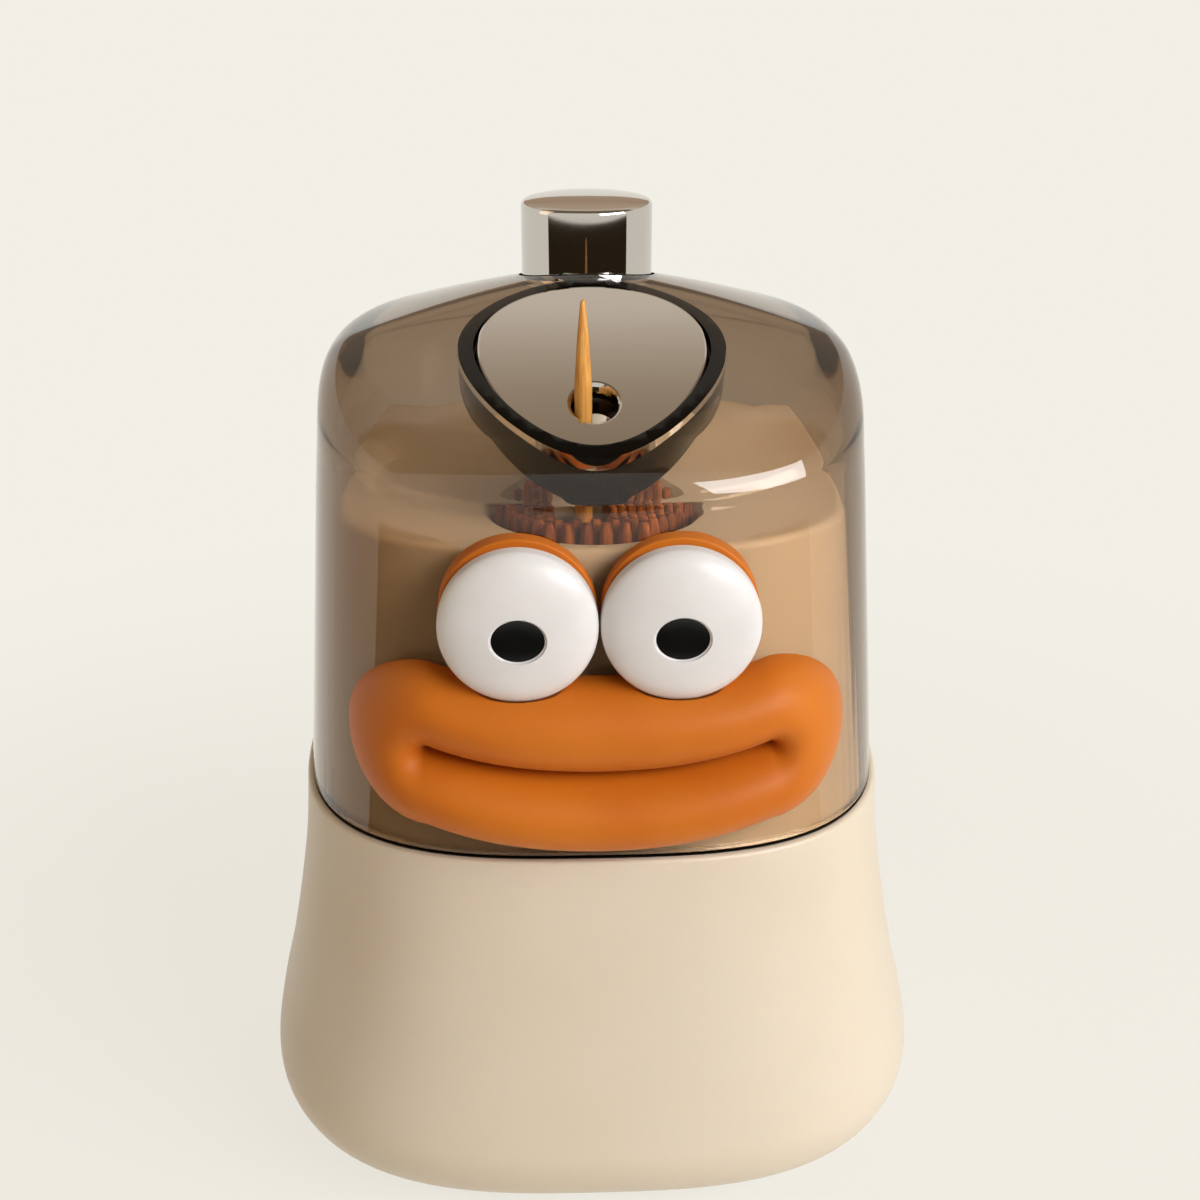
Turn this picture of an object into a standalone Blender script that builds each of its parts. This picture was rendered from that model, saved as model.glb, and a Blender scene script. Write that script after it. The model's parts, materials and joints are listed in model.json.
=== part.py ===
"""Press-top toothpick dispenser.

A cream tower with a pick well stands in a flared cream base. A smoky cover lifts off over the
tower. Pressing the chrome knob turns a step gear, which raises a finger under one toothpick and
pushes it up through the hole in the tilted mirror plate. Metres, +Z up, the face looks along -Y.
"""

import math

import bmesh
import bpy
from mathutils import Matrix, Vector

# Fits shared by the whole object
GAP = 0.0003
OVERRUN = 0.004
SIDES = 48
INSIDE_SIDES = 40
PLAN_POWER = 3.0
SMOOTH_ANGLE = math.radians(32)

# Base shell, a flared skirt with a ledge at the top
BASE_FOOT_Z = 0.0015
BASE_TOP_Z = 0.0495
BASE_LIP = 0.0006
BASE_FLARE = 0.0059
BASE_WALL = 0.0022
BASE_LEDGE = 0.0022
BASE_RIM_ROUND = 0.0005
BASE_SIDE_SHARES = (
    (0.0, -0.22), (0.035, 0.245), (0.10, 0.75), (0.19, 1.0), (0.30, 0.88), (0.42, 0.64),
    (0.62, 0.33), (0.82, 0.11), (1.0, 0.0),
)

# Base plate and pad
PLATE_FOOT_Z = 0.0004
PLATE_THICK = 0.0032
PLATE_RIM = 0.0008
PLATE_RIM_INSET = 0.0010
PAD_INSET = 0.0134
PAD_THICK = 0.0010

# Screws through the base plate, and the posts that take them
POST_INSET = 0.0150
POST_RADIUS = 0.0034
POST_TOP_Z = 0.0470
SCREW_SHANK_RADIUS = 0.0013
SCREW_HEAD_RADIUS = 0.0030
SCREW_HEAD_THICK = 0.0007
SCREW_LENGTH = 0.0110
SCREW_HEAD_SINK = 0.0002
DRIVE_WIDTH = 0.0008
DRIVE_LENGTH = 0.0036
DRIVE_DEPTH = 0.0004

# Smoky cover
COVER_FOOT_HALF = 0.0359
COVER_TAPER = 0.0032
COVER_WALL = 0.0020
SHOULDER_ABOVE_DECK = 0.0112
BEND_ABOVE_DECK = 0.0016
SHOULDER_ROUND = 0.0040
SHOULDER_STEPS = 4
DOME_HEIGHT = 0.0128
DOME_POWER = 1.4
DOME_STEPS = 5
FRONT_DROP = 0.0066
FRONT_DROP_POWER = 1.5

# Inner body: tower, deck and pick well
DECK_Z = 0.0860
DECK_THICK = 0.0020
DECK_ROUND = 0.0010
TOWER_WALL = 0.0020
SPIGOT_FOOT_Z = 0.0410
SPIGOT_INSET = 0.0050
STEP_DROP = 0.0020
WELL_Y = -0.0170
WELL_RADIUS = 0.0122
WELL_WALL = 0.0011
WELL_FLOOR_Z = 0.0220
WELL_FLOOR_THICK = 0.0020

# Toothpicks
PICK_RADIUS = 0.0010
PICK_LENGTH = 0.0650
PICK_TAPER = 0.0110
PICK_TIP_RADIUS = 0.00025
PICK_X = -0.00125
PICK_Y = -0.0206
PICK_PITCH = 0.00215
BUNDLE_TIP_LENGTH = 0.0065

# Lane that keeps one toothpick over the lifter's finger
LANE_HALF = 0.00135
LANE_WALL = 0.0009
LANE_TOP_Z = 0.0780
SLOT_FOOT_Z = 0.0245
SLOT_TOP_Z = 0.0490

# Pocket and mirror plate in the cover
MIRROR_TILT = math.radians(29.1)
MIRROR_Y = -0.01625
MIRROR_ABOVE_DECK = 0.01666
MIRROR_WIDTH = 0.0260
MIRROR_LENGTH = 0.0269
MIRROR_THICK = 0.0012
MIRROR_EDGE = 0.0003
EGG_SHARE = 0.25
EGG_SIDES = 40
POCKET_WALL = 0.0017
POCKET_FLOOR = 0.0016
POCKET_SKIRT = 0.0028
HOLE_RADIUS = 0.00265
HOLE_FORWARD = 0.0009

# Knob
KNOB_Y = 0.0070
KNOB_RADIUS = 0.0081
KNOB_PROUD = 0.0080
KNOB_SKIRT = 0.0065
KNOB_CROWN = 0.0004
KNOB_ROUND = 0.0010
KNOB_WALL = 0.0014
KNOB_TOP_WALL = 0.0022
KNOB_TRAVEL = 0.0065
KNOB_CLEARANCE = 0.0004
KNOB_BOSS_DROP = 0.0050
STEM_RADIUS = 0.0025
STEM_BOSS_WALL = 0.0015

# Stem bush in the deck
BUSH_WALL = 0.0013
BUSH_FLANGE_RADIUS = 0.0060
BUSH_FLANGE_THICK = 0.0012
BUSH_BELOW = 0.0040

# Return spring round the stem
SPRING_WIRE_RADIUS = 0.00035
SPRING_COIL_RADIUS = 0.0036
SPRING_TURNS = 7
SPRING_POINTS_A_TURN = 10
SPRING_DEAD_TURNS = 1.25

# Gear train. Tooth sizes follow the module
MODULE = 0.0010
PRESSURE_ANGLE = math.radians(25)
ADDENDUM_SHARE = 0.75
DEDENDUM_SHARE = 1.0
TOOTH_THINNING = 0.0002
PINION_TEETH = 10
WHEEL_TEETH = 25
FLANK_STEPS = 2
AXLE_Z = 0.0460
AXLE_RADIUS = 0.0015
WHEEL_WIDTH = 0.0035
PINION_WIDTH = 0.0042
LIFT_PITCH_Y = 0.0024
WHEEL_WINDOW_RADIUS = 0.0026
WHEEL_WINDOW_PLACE = 0.0078
WHEEL_WINDOWS = 5

# Gear bracket
CHEEK = 0.0020
CHEEK_GAP = 0.0006
CHEEK_TOP_HALF = 0.0032
CHEEK_FOOT_HALF = 0.0085
CHEEK_ABOVE_AXLE = 0.0042
BRACKET_FLOOR = 0.0020
BRACKET_END = 0.0030
BRACKET_BOSS_RADIUS = 0.0030
BRACKET_BOSS_HEIGHT = 0.0055
BRACKET_SCREW_STEP = 0.0042
CLIP_RADIUS = 0.0030
CLIP_THICK = 0.0008
CLIP_MOUTH_HALF = 0.0009

# Push bar
BRIDGE_BELOW_DECK = 0.0080
BRIDGE_THICK = 0.0040
RACK_BACK = 0.0030
PUSH_RACK_FOOT_Z = 0.0380

# Lifter and its guide rod
ROD_RADIUS = 0.0010
ROD_Y = -0.0010
LUG_HALF = 0.0032
LUG_BACK_Y = 0.0012
LUG_THICK = 0.0030
LUG_FLOOR = 0.0010
LOW_LUG_Z = 0.0200
HIGH_LUG_Z = 0.0700
CARRIAGE_HALF = 0.0030
CARRIAGE_FRONT_Y = -0.0032
CARRIAGE_FOOT_Z = 0.0257
CARRIAGE_TOP_Z = 0.0500
FINGER_TOP_Z = 0.0297
FINGER_HALF = 0.0008
FINGER_TIP_DEPTH = 0.0018
FINGER_ROOT_DEPTH = 0.0037
FINGER_PAST = 0.0008

# Face on the front of the cover
EYE_RADIUS = 0.00875
EYE_SIDE = 0.0089
EYE_Z = 0.0793
EYE_SINK = 0.0001
EYE_RIM = 0.0016
EYE_DOME = 0.0026
EYE_STEPS = 5
LID_RISE = 0.0006
LID_SINK = 0.0004
LID_ROUND = 0.0006
PUPIL_HALF_X = 0.00295
PUPIL_HALF_Z = 0.00245
PUPIL_DROP = 0.0007
PUPIL_DEEP = 0.0007
PUPIL_PROUD = 0.0003
LIP_HALF = 0.0282
LIP_Z = 0.0606
LIP_HALF_HEIGHT = 0.0098
LIP_SMILE = 0.0052
LIP_END_GROWTH_SHARE = 0.12
LIP_PROUD = 0.0066
LIP_ROUND_POWER = 2.6
LIP_SIDES = 24
LIP_STATIONS = 26
SLIT_HALF = 0.0193
SLIT_Z = 0.0612
SLIT_SMILE = 0.0026
SLIT_DEPTH = 0.0030
SLIT_HALF_HEIGHT = 0.0004
SLIT_VALLEY = 0.0030
SLIT_VALLEY_REACH = 0.0030

# Places worked out from the sizes above
BASE_RIM_HALF = COVER_FOOT_HALF + BASE_LIP
PAD_HALF = COVER_FOOT_HALF - PAD_INSET
POST_SIDE = COVER_FOOT_HALF - POST_INSET
SPIGOT_HALF = COVER_FOOT_HALF - SPIGOT_INSET
EYE_BACK_Y = EYE_SINK - COVER_FOOT_HALF
LID_FRONT_Y = LID_SINK - COVER_FOOT_HALF
COVER_FOOT_Z = BASE_TOP_Z + GAP
COVER_BEND_Z = DECK_Z + BEND_ABOVE_DECK
COVER_SHOULDER_Z = DECK_Z + SHOULDER_ABOVE_DECK
COVER_SHOULDER_HALF = COVER_FOOT_HALF - COVER_TAPER
COVER_TOP_Z = COVER_SHOULDER_Z + DOME_HEIGHT
KNOB_TOP_Z = COVER_TOP_Z + KNOB_PROUD
KNOB_FOOT_Z = COVER_TOP_Z - KNOB_SKIRT
KNOB_BOSS_FOOT_Z = COVER_TOP_Z - KNOB_BOSS_DROP
BRIDGE_TOP_Z = DECK_Z - BRIDGE_BELOW_DECK
LEDGE_HALF = COVER_FOOT_HALF - COVER_WALL
PLATE_TOP_Z = PLATE_FOOT_Z + PLATE_THICK
AXLE_Y = LIFT_PITCH_Y + MODULE * WHEEL_TEETH / 2
PUSH_PITCH_Y = AXLE_Y + MODULE * PINION_TEETH / 2
TOOTH_TIP = MODULE * ADDENDUM_SHARE
TOOTH_ROOT = MODULE * DEDENDUM_SHARE
WHEEL_LOW_X = PICK_X - WHEEL_WIDTH / 2
WHEEL_HIGH_X = PICK_X + WHEEL_WIDTH / 2
PINION_HIGH_X = WHEEL_HIGH_X + PINION_WIDTH
BRACKET_LOW_X = WHEEL_LOW_X - CHEEK_GAP - CHEEK
BRACKET_HIGH_X = PINION_HIGH_X + CHEEK_GAP + CHEEK
BRACKET_MID_X = (BRACKET_LOW_X + BRACKET_HIGH_X) / 2
RACK_LOW_X = WHEEL_HIGH_X + GAP
RACK_HIGH_X = PINION_HIGH_X
LIFT_TRAVEL = KNOB_TRAVEL * WHEEL_TEETH / PINION_TEETH
RAISED_PICK_Z = FINGER_TOP_Z + LIFT_TRAVEL + GAP
BUSH_RADIUS = STEM_RADIUS + GAP + BUSH_WALL
FLANGE_TOP_Z = DECK_Z + GAP + BUSH_FLANGE_THICK
UP_SLOPE = Vector((0, math.cos(MIRROR_TILT), math.sin(MIRROR_TILT)))
OUT_OF_MIRROR = Vector((0, -math.sin(MIRROR_TILT), math.cos(MIRROR_TILT)))
MIRROR_CENTRE = Vector((0, MIRROR_Y, DECK_Z + MIRROR_ABOVE_DECK))

PARTS = "toothpick_holder"
CUTTERS = "toothpick_holder_cutters"


def clear_scene():
    """Removes what the start-up file holds and makes the two collections."""
    for old in list(bpy.data.objects):
        bpy.data.objects.remove(old)
    for name in (PARTS, CUTTERS):
        made = bpy.data.collections.new(name)
        bpy.context.scene.collection.children.link(made)
    bpy.data.collections[CUTTERS].hide_render = True


def material(name, colour, roughness, metallic=0.0, alpha=1.0):
    made = bpy.data.materials.get(name) or bpy.data.materials.new(name)
    made.use_nodes = True
    shader = made.node_tree.nodes["Principled BSDF"]
    shader.inputs["Base Color"].default_value = (*colour, 1.0)
    shader.inputs["Roughness"].default_value = roughness
    shader.inputs["Metallic"].default_value = metallic
    shader.inputs["Alpha"].default_value = alpha
    return made


def cream():
    return material("cream_abs", (0.80, 0.70, 0.55), 0.35)


def steel():
    return material("steel", (0.55, 0.55, 0.56), 0.3, metallic=1.0)


def chrome():
    return material("chrome", (0.80, 0.80, 0.81), 0.06, metallic=1.0)


def acetal():
    return material("white_acetal", (0.85, 0.85, 0.82), 0.4)


def bamboo():
    return material("bamboo", (0.76, 0.47, 0.16), 0.6)


def orange():
    return material("orange_rubber", (0.60, 0.20, 0.03), 0.6)


def finish_mesh(bm, name):
    bmesh.ops.recalc_face_normals(bm, faces=bm.faces)
    mesh = bpy.data.meshes.new(name)
    bm.to_mesh(mesh)
    bm.free()
    mesh.shade_smooth()
    mesh.set_sharp_from_angle(angle=SMOOTH_ANGLE)
    return mesh


def part(name, bm, finish, location=(0, 0, 0)):
    """A piece of the product, with its origin at the given place."""
    bmesh.ops.translate(bm, verts=bm.verts, vec=-Vector(location))
    made = bpy.data.objects.new(name, finish_mesh(bm, name))
    made.location = location
    made.data.materials.append(finish)
    bpy.data.collections[PARTS].objects.link(made)
    return made


def tool(name, bm):
    """A shape that only cuts or joins other shapes."""
    made = bpy.data.objects.new(name, finish_mesh(bm, name))
    made.hide_render = True
    made.display_type = "WIRE"
    bpy.data.collections[CUTTERS].objects.link(made)
    return made


def combine(target, other, operation):
    step = target.modifiers.new(other.name, "BOOLEAN")
    step.operation = operation
    step.solver = "EXACT"
    step.object = other


def cut(target, *others):
    for other in others:
        combine(target, other, "DIFFERENCE")


def join(target, *others):
    for other in others:
        combine(target, other, "UNION")


def weld(target):
    """Closes the hair-thin seams that cuts can leave."""
    target.modifiers.new("weld", "WELD").merge_threshold = GAP / 100


def turned(profile, sides=SIDES, axis_at=(0, 0)):
    """Turns a profile of (radius, height) round a vertical axis. A ring's profile ends where it starts."""
    bm = bmesh.new()
    points = [bm.verts.new((r, 0, z)) for r, z in profile]
    rows = list(zip(points, points[1:]))
    if min(r for r, z in profile) > 0:
        rows.append((points[-1], points[0]))
    edges = [bm.edges.new(pair) for pair in rows]
    bmesh.ops.spin(bm, geom=points + edges, cent=(0, 0, 0), axis=(0, 0, 1), angle=math.tau, steps=sides, use_merge=True)
    bmesh.ops.remove_doubles(bm, verts=bm.verts, dist=GAP / 100)
    bmesh.ops.translate(bm, verts=bm.verts, vec=(*axis_at, 0))
    return bm


def squared(bm, squareness=lambda z: 1.0):
    """Presses a turned shape into the object's rounded-square plan, less where squareness is under 1."""
    for vert in bm.verts:
        reach = math.hypot(vert.co.x, vert.co.y)
        if reach > 0:
            across = abs(vert.co.x / reach) ** PLAN_POWER
            along = abs(vert.co.y / reach) ** PLAN_POWER
            grow = 1 + ((across + along) ** (-1 / PLAN_POWER) - 1) * squareness(vert.co.z)
            vert.co.x *= grow
            vert.co.y *= grow
    return bm


def cylinder(radius, low, high, centre=(0, 0), sides=32):
    return turned(((0, low), (radius, low), (radius, high), (0, high)), sides, centre)


def box(low, high):
    bm = bmesh.new()
    bmesh.ops.create_cube(bm, size=1)
    middle = (Vector(low) + Vector(high)) / 2
    size = Vector(high) - Vector(low)
    bmesh.ops.transform(bm, matrix=Matrix.Translation(middle) @ Matrix.Diagonal((*size, 1)), verts=bm.verts)
    return bm


def prism(outline, place, run):
    """Extrudes a flat outline. place turns an outline point into a point in space."""
    bm = bmesh.new()
    face = bm.faces.new([bm.verts.new(place(a, b)) for a, b in outline])
    raised = bmesh.ops.extrude_face_region(bm, geom=[face])["geom"]
    tops = [item for item in raised if isinstance(item, bmesh.types.BMVert)]
    bmesh.ops.translate(bm, verts=tops, vec=run)
    return bm


def side_prism(outline, low_x, high_x):
    """A plate whose outline is drawn in the Y-Z plane."""
    return prism(outline, lambda y, z: Vector((low_x, y, z)), Vector((high_x - low_x, 0, 0)))


def smooth_through(points, steps):
    """A Catmull-Rom curve through the points."""
    ends = [points[0], *points, points[-1]]
    curve = []
    for before, start, stop, after in zip(ends, ends[1:], ends[2:], ends[3:]):
        for step in range(steps):
            t = step / steps
            curve.append(tuple(
                (2 * b + (c - a) * t + (2 * a - 5 * b + 4 * c - d) * t * t + (3 * b - a - 3 * c + d) * t ** 3) / 2
                for a, b, c, d in zip(before, start, stop, after)
            ))
    curve.append(points[-1])
    return curve


def base_side(inset, high, steps):
    """The base's flared side from its foot up to a height, moved in by a wall."""
    height = BASE_TOP_Z - BASE_FOOT_Z
    points = []
    for rise, flare in smooth_through(BASE_SIDE_SHARES, steps):
        z = BASE_FOOT_Z + height * rise
        if z <= high:
            points.append((BASE_RIM_HALF + BASE_FLARE * flare - inset, z))
    return points


def make_base_shell():
    rim = BASE_TOP_Z - BASE_RIM_ROUND
    under = BASE_TOP_Z - STEP_DROP - BASE_LEDGE
    step_half = SPIGOT_HALF + GAP
    outer = base_side(0, rim - BASE_RIM_ROUND, 2)
    inner = base_side(BASE_WALL, under - BASE_RIM_ROUND, 1)
    ledge = [
        (BASE_RIM_HALF, rim), (BASE_RIM_HALF - BASE_RIM_ROUND, BASE_TOP_Z), (LEDGE_HALF, BASE_TOP_Z),
        (LEDGE_HALF, BASE_TOP_Z - STEP_DROP), (step_half, BASE_TOP_Z - STEP_DROP), (step_half, under),
        (BASE_RIM_HALF - BASE_WALL, under),
    ]
    return part("base_shell", squared(turned(outer + ledge + inner[::-1])), cream())


def screw_places():
    for x in (-POST_SIDE, POST_SIDE):
        for y in (-POST_SIDE, POST_SIDE):
            yield x, y


def bracket_screw_places():
    for y in (AXLE_Y - BRACKET_SCREW_STEP, AXLE_Y + BRACKET_SCREW_STEP):
        yield BRACKET_MID_X, y


def make_base_plate():
    foot_half = BASE_RIM_HALF + BASE_FLARE * BASE_SIDE_SHARES[0][1]
    rim_half = foot_half - PLATE_RIM_INSET
    step_half = foot_half - BASE_WALL - GAP
    rim_top = PLATE_FOOT_Z + PLATE_RIM
    profile = [
        (0, PLATE_TOP_Z), (step_half, PLATE_TOP_Z), (step_half, rim_top), (rim_half, rim_top),
        (rim_half, PLATE_FOOT_Z), (PAD_HALF + GAP, PLATE_FOOT_Z), (PAD_HALF + GAP, PAD_THICK + GAP),
        (0, PAD_THICK + GAP),
    ]
    plate = part("base_plate", squared(turned(profile, INSIDE_SIDES)), cream())
    sink = SCREW_HEAD_SINK + SCREW_HEAD_THICK + GAP
    for number, (x, y) in enumerate([*screw_places(), *bracket_screw_places()], 1):
        hole = cylinder(SCREW_SHANK_RADIUS + GAP, -OVERRUN, PLATE_TOP_Z + OVERRUN, (x, y), 16)
        head = cylinder(SCREW_HEAD_RADIUS + GAP, -OVERRUN, screw_head_low(x, y) + sink - SCREW_HEAD_SINK, (x, y), 20)
        cut(plate, tool(f"plate_hole_{number}", hole), tool(f"plate_sink_{number}", head))
    return plate


def screw_head_low(x, y):
    """Screws under the pad start above it, the others just inside the plate's underside."""
    under_pad = math.hypot(x, y) < PAD_HALF + SCREW_HEAD_RADIUS
    return PAD_THICK + GAP if under_pad else PLATE_FOOT_Z + SCREW_HEAD_SINK


def make_pad():
    return part("anti_slip_pad", squared(cylinder(PAD_HALF, 0, PAD_THICK, sides=INSIDE_SIDES)),
                material("dark_rubber", (0.03, 0.03, 0.03), 0.8))


def make_screw(name, x, y, length):
    low = screw_head_low(x, y)
    neck = low + SCREW_HEAD_THICK
    profile = [
        (0, low), (SCREW_HEAD_RADIUS, low), (SCREW_HEAD_RADIUS, neck), (SCREW_SHANK_RADIUS, neck),
        (SCREW_SHANK_RADIUS, neck + length - SCREW_SHANK_RADIUS), (0, neck + length),
    ]
    screw = part(name, turned(profile, 14, (x, y)), steel(), (x, y, low))
    for turn in (0, 1):
        arm = (DRIVE_LENGTH / 2, DRIVE_WIDTH / 2) if turn else (DRIVE_WIDTH / 2, DRIVE_LENGTH / 2)
        slot = box((x - arm[0], y - arm[1], low - DRIVE_DEPTH), (x + arm[0], y + arm[1], low + DRIVE_DEPTH))
        cut(screw, tool(f"{name}_drive_{turn}", slot))


def make_screws():
    for number, (x, y) in enumerate(screw_places(), 1):
        make_screw(f"base_screw_{number}", x, y, SCREW_LENGTH)
    for name, (x, y) in zip(("front", "back"), bracket_screw_places()):
        make_screw(f"bracket_screw_{name}", x, y, BRACKET_BOSS_HEIGHT)


def cover_half(z):
    """Half width of the cover's outside at a height up its tapered wall."""
    share = (z - COVER_FOOT_Z) / (COVER_SHOULDER_Z - COVER_FOOT_Z)
    return COVER_FOOT_HALF + (COVER_SHOULDER_HALF - COVER_FOOT_HALF) * share


def dome_z(reach):
    """Height of the crowned dome at a distance from its axis, before the front is lowered."""
    drop = DOME_HEIGHT - SHOULDER_ROUND
    return COVER_TOP_Z - drop * (reach / COVER_SHOULDER_HALF) ** DOME_POWER


def cover_profile(grow, foot_z):
    """The cover's outline from its foot over the dome to the axis, moved out by grow."""
    half = COVER_SHOULDER_HALF + grow
    points = [(cover_half(foot_z) + grow, foot_z), (cover_half(COVER_BEND_Z) + grow, COVER_BEND_Z)]
    start = Vector((half, COVER_SHOULDER_Z + grow))
    corner = Vector((half, COVER_SHOULDER_Z + SHOULDER_ROUND + grow))
    inner = half - SHOULDER_ROUND
    stop = Vector((inner, dome_z(inner) + grow))
    for step in range(SHOULDER_STEPS):
        share = step / SHOULDER_STEPS
        points.append(tuple(start.lerp(corner, share).lerp(corner.lerp(stop, share), share)))
    for step in range(DOME_STEPS):
        reach = inner * (1 - step / DOME_STEPS)
        points.append((reach, dome_z(reach) + grow))
    points.append((0, COVER_TOP_Z + grow))
    return points


def dome_squareness(z):
    """The plan turns from a rounded square at the shoulder into a circle at the top."""
    return min(1.0, max(0.0, (COVER_TOP_Z - z) / DOME_HEIGHT))


def cover_block(grow, foot_z):
    """The cover's outside moved out by grow, with the dome lowered towards the face."""
    bm = squared(turned([(0, foot_z), *cover_profile(grow, foot_z)]), dome_squareness)
    for vert in bm.verts:
        if vert.co.z > COVER_BEND_Z and vert.co.y < 0:
            above = min(1.0, (vert.co.z - COVER_BEND_Z) / (COVER_SHOULDER_Z - COVER_BEND_Z))
            vert.co.z -= FRONT_DROP * above * (-vert.co.y / COVER_SHOULDER_HALF) ** FRONT_DROP_POWER
    return bm


def make_inner_body():
    step_z = BASE_TOP_Z - STEP_DROP + GAP
    edge_z = DECK_Z - DECK_ROUND

    def tower_half(z):
        return cover_half(z) - COVER_WALL - GAP

    def cavity_half(z):
        return tower_half(z) - TOWER_WALL

    top_half = tower_half(DECK_Z)
    ceiling = DECK_Z - DECK_THICK
    slope = math.sqrt(0.5)
    profile = [
        (0, DECK_Z), (top_half - DECK_ROUND, DECK_Z),
        (top_half - DECK_ROUND * (1 - slope), edge_z + DECK_ROUND * slope), (tower_half(edge_z), edge_z),
        (tower_half(COVER_FOOT_Z), COVER_FOOT_Z), (tower_half(COVER_FOOT_Z), step_z), (SPIGOT_HALF, step_z),
        (SPIGOT_HALF, SPIGOT_FOOT_Z), (SPIGOT_HALF - TOWER_WALL, SPIGOT_FOOT_Z), (SPIGOT_HALF - TOWER_WALL, step_z),
        (cavity_half(COVER_FOOT_Z), COVER_FOOT_Z + TOWER_WALL), (cavity_half(ceiling), ceiling), (0, ceiling),
    ]
    body = part("inner_body", squared(turned(profile, INSIDE_SIDES)), cream())
    tube = cylinder(WELL_RADIUS + WELL_WALL, WELL_FLOOR_Z - WELL_FLOOR_THICK, DECK_Z - DECK_THICK / 2, (0, WELL_Y), 40)
    join(body, tool("well_tube", tube))
    for number, (x, y) in enumerate(screw_places(), 1):
        join(body, tool(f"post_{number}", cylinder(POST_RADIUS, PLATE_TOP_Z + GAP, POST_TOP_Z, (x, y), 20)))
    for name, low in (("low", LOW_LUG_Z), ("high", HIGH_LUG_Z)):
        lug = box((PICK_X - LUG_HALF, WELL_Y + WELL_RADIUS, low), (PICK_X + LUG_HALF, LUG_BACK_Y, low + LUG_THICK))
        join(body, tool(f"{name}_lug", lug))
    cut(body, tool("well_bore", cylinder(WELL_RADIUS, WELL_FLOOR_Z, DECK_Z + OVERRUN, (0, WELL_Y), 40)))
    join(body, tool("lane", prism(lane_outline(), lambda x, y: Vector((x, y, WELL_FLOOR_Z - WELL_FLOOR_THICK / 2)),
                                  Vector((0, 0, LANE_TOP_Z - WELL_FLOOR_Z)))))
    slot = box((PICK_X - LANE_HALF, WELL_Y + WELL_RADIUS - LANE_WALL, SLOT_FOOT_Z),
               (PICK_X + LANE_HALF, ROD_Y, SLOT_TOP_Z))
    rod_bore = cylinder(ROD_RADIUS + GAP, LOW_LUG_Z + LUG_FLOOR, HIGH_LUG_Z + LUG_THICK + OVERRUN, (PICK_X, ROD_Y), 16)
    bush_bore = cylinder(BUSH_RADIUS + GAP, DECK_Z - OVERRUN, DECK_Z + OVERRUN, (0, KNOB_Y), 24)
    cut(body, tool("finger_slot", slot), tool("rod_bore", rod_bore), tool("bush_bore", bush_bore))
    for number, (x, y) in enumerate(screw_places(), 1):
        reach = PLATE_TOP_Z + SCREW_LENGTH
        cut(body, tool(f"post_bore_{number}", cylinder(SCREW_SHANK_RADIUS + GAP, 0, reach, (x, y), 16)))
    return body


def lane_outline():
    """A U in plan, closed at the front, that holds one toothpick over the finger."""
    end_y = PICK_Y - LANE_HALF
    back_y = WELL_Y + WELL_RADIUS + WELL_WALL / 2
    outer = LANE_HALF + LANE_WALL
    return [
        (PICK_X - outer, back_y), (PICK_X - outer, end_y - LANE_WALL), (PICK_X + outer, end_y - LANE_WALL),
        (PICK_X + outer, back_y), (PICK_X + LANE_HALF, back_y), (PICK_X + LANE_HALF, end_y),
        (PICK_X - LANE_HALF, end_y), (PICK_X - LANE_HALF, back_y),
    ]


def bundle_places():
    """Hexagonal rows of toothpicks that fill the well round the lane."""
    limit = WELL_RADIUS - PICK_RADIUS - GAP
    row = PICK_PITCH * math.sqrt(0.75)
    rows = int(limit / row) + 1
    across = int(limit / PICK_PITCH) + 1
    lane_side = LANE_HALF + LANE_WALL + PICK_RADIUS + GAP
    lane_front = PICK_Y - LANE_HALF - LANE_WALL - PICK_RADIUS - GAP
    for j in range(-rows, rows + 1):
        for i in range(-across, across + 1):
            x = (i + 0.5 * (j % 2)) * PICK_PITCH
            y = j * row
            if math.hypot(x, y) > limit:
                continue
            if abs(x - PICK_X) < lane_side and WELL_Y + y > lane_front:
                continue
            yield x, WELL_Y + y


def make_toothpick_bundle():
    low = WELL_FLOOR_Z + GAP
    high = low + PICK_LENGTH
    neck = high - BUNDLE_TIP_LENGTH
    bundle = part("toothpick_bundle", cylinder(WELL_RADIUS - GAP, low, neck, (0, WELL_Y), 40), bamboo())
    lane = LANE_HALF + LANE_WALL + GAP
    room = box((PICK_X - lane, PICK_Y - lane, 0), (PICK_X + lane, 0, high + OVERRUN))
    cut(bundle, tool("bundle_lane_room", room))
    tips = bmesh.new()
    for x, y in bundle_places():
        made = bmesh.ops.create_cone(tips, cap_ends=True, segments=5, radius1=PICK_RADIUS, radius2=PICK_TIP_RADIUS,
                                     depth=BUNDLE_TIP_LENGTH + GAP)
        bmesh.ops.translate(tips, verts=made["verts"], vec=(x, y, (neck - GAP + high) / 2))
    join(bundle, tool("bundle_tips", tips))
    return bundle


def make_raised_toothpick():
    low = RAISED_PICK_Z
    high = low + PICK_LENGTH
    profile = [
        (0, low), (PICK_TIP_RADIUS, low), (PICK_RADIUS, low + PICK_TAPER), (PICK_RADIUS, high - PICK_TAPER),
        (PICK_TIP_RADIUS, high), (0, high),
    ]
    return part("raised_toothpick", turned(profile, 16, (PICK_X, PICK_Y)), bamboo(), (PICK_X, PICK_Y, low))


def egg_outline(grow):
    """The mirror's outline: an ellipse that is wider up the slope, moved out by grow."""
    points = []
    for step in range(EGG_SIDES):
        turn = math.tau * step / EGG_SIDES
        wide = (MIRROR_WIDTH / 2 + grow) * math.cos(turn) * (1 + EGG_SHARE * math.sin(turn))
        points.append((wide, (MIRROR_LENGTH / 2 + grow) * math.sin(turn)))
    return points


def egg_prism(grow, low, high):
    """A plug square to the mirror, between two depths measured out of its face."""
    return prism(egg_outline(grow), lambda u, v: MIRROR_CENTRE + Vector((u, 0, 0)) + UP_SLOPE * v + OUT_OF_MIRROR * low,
                 OUT_OF_MIRROR * (high - low))


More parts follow.
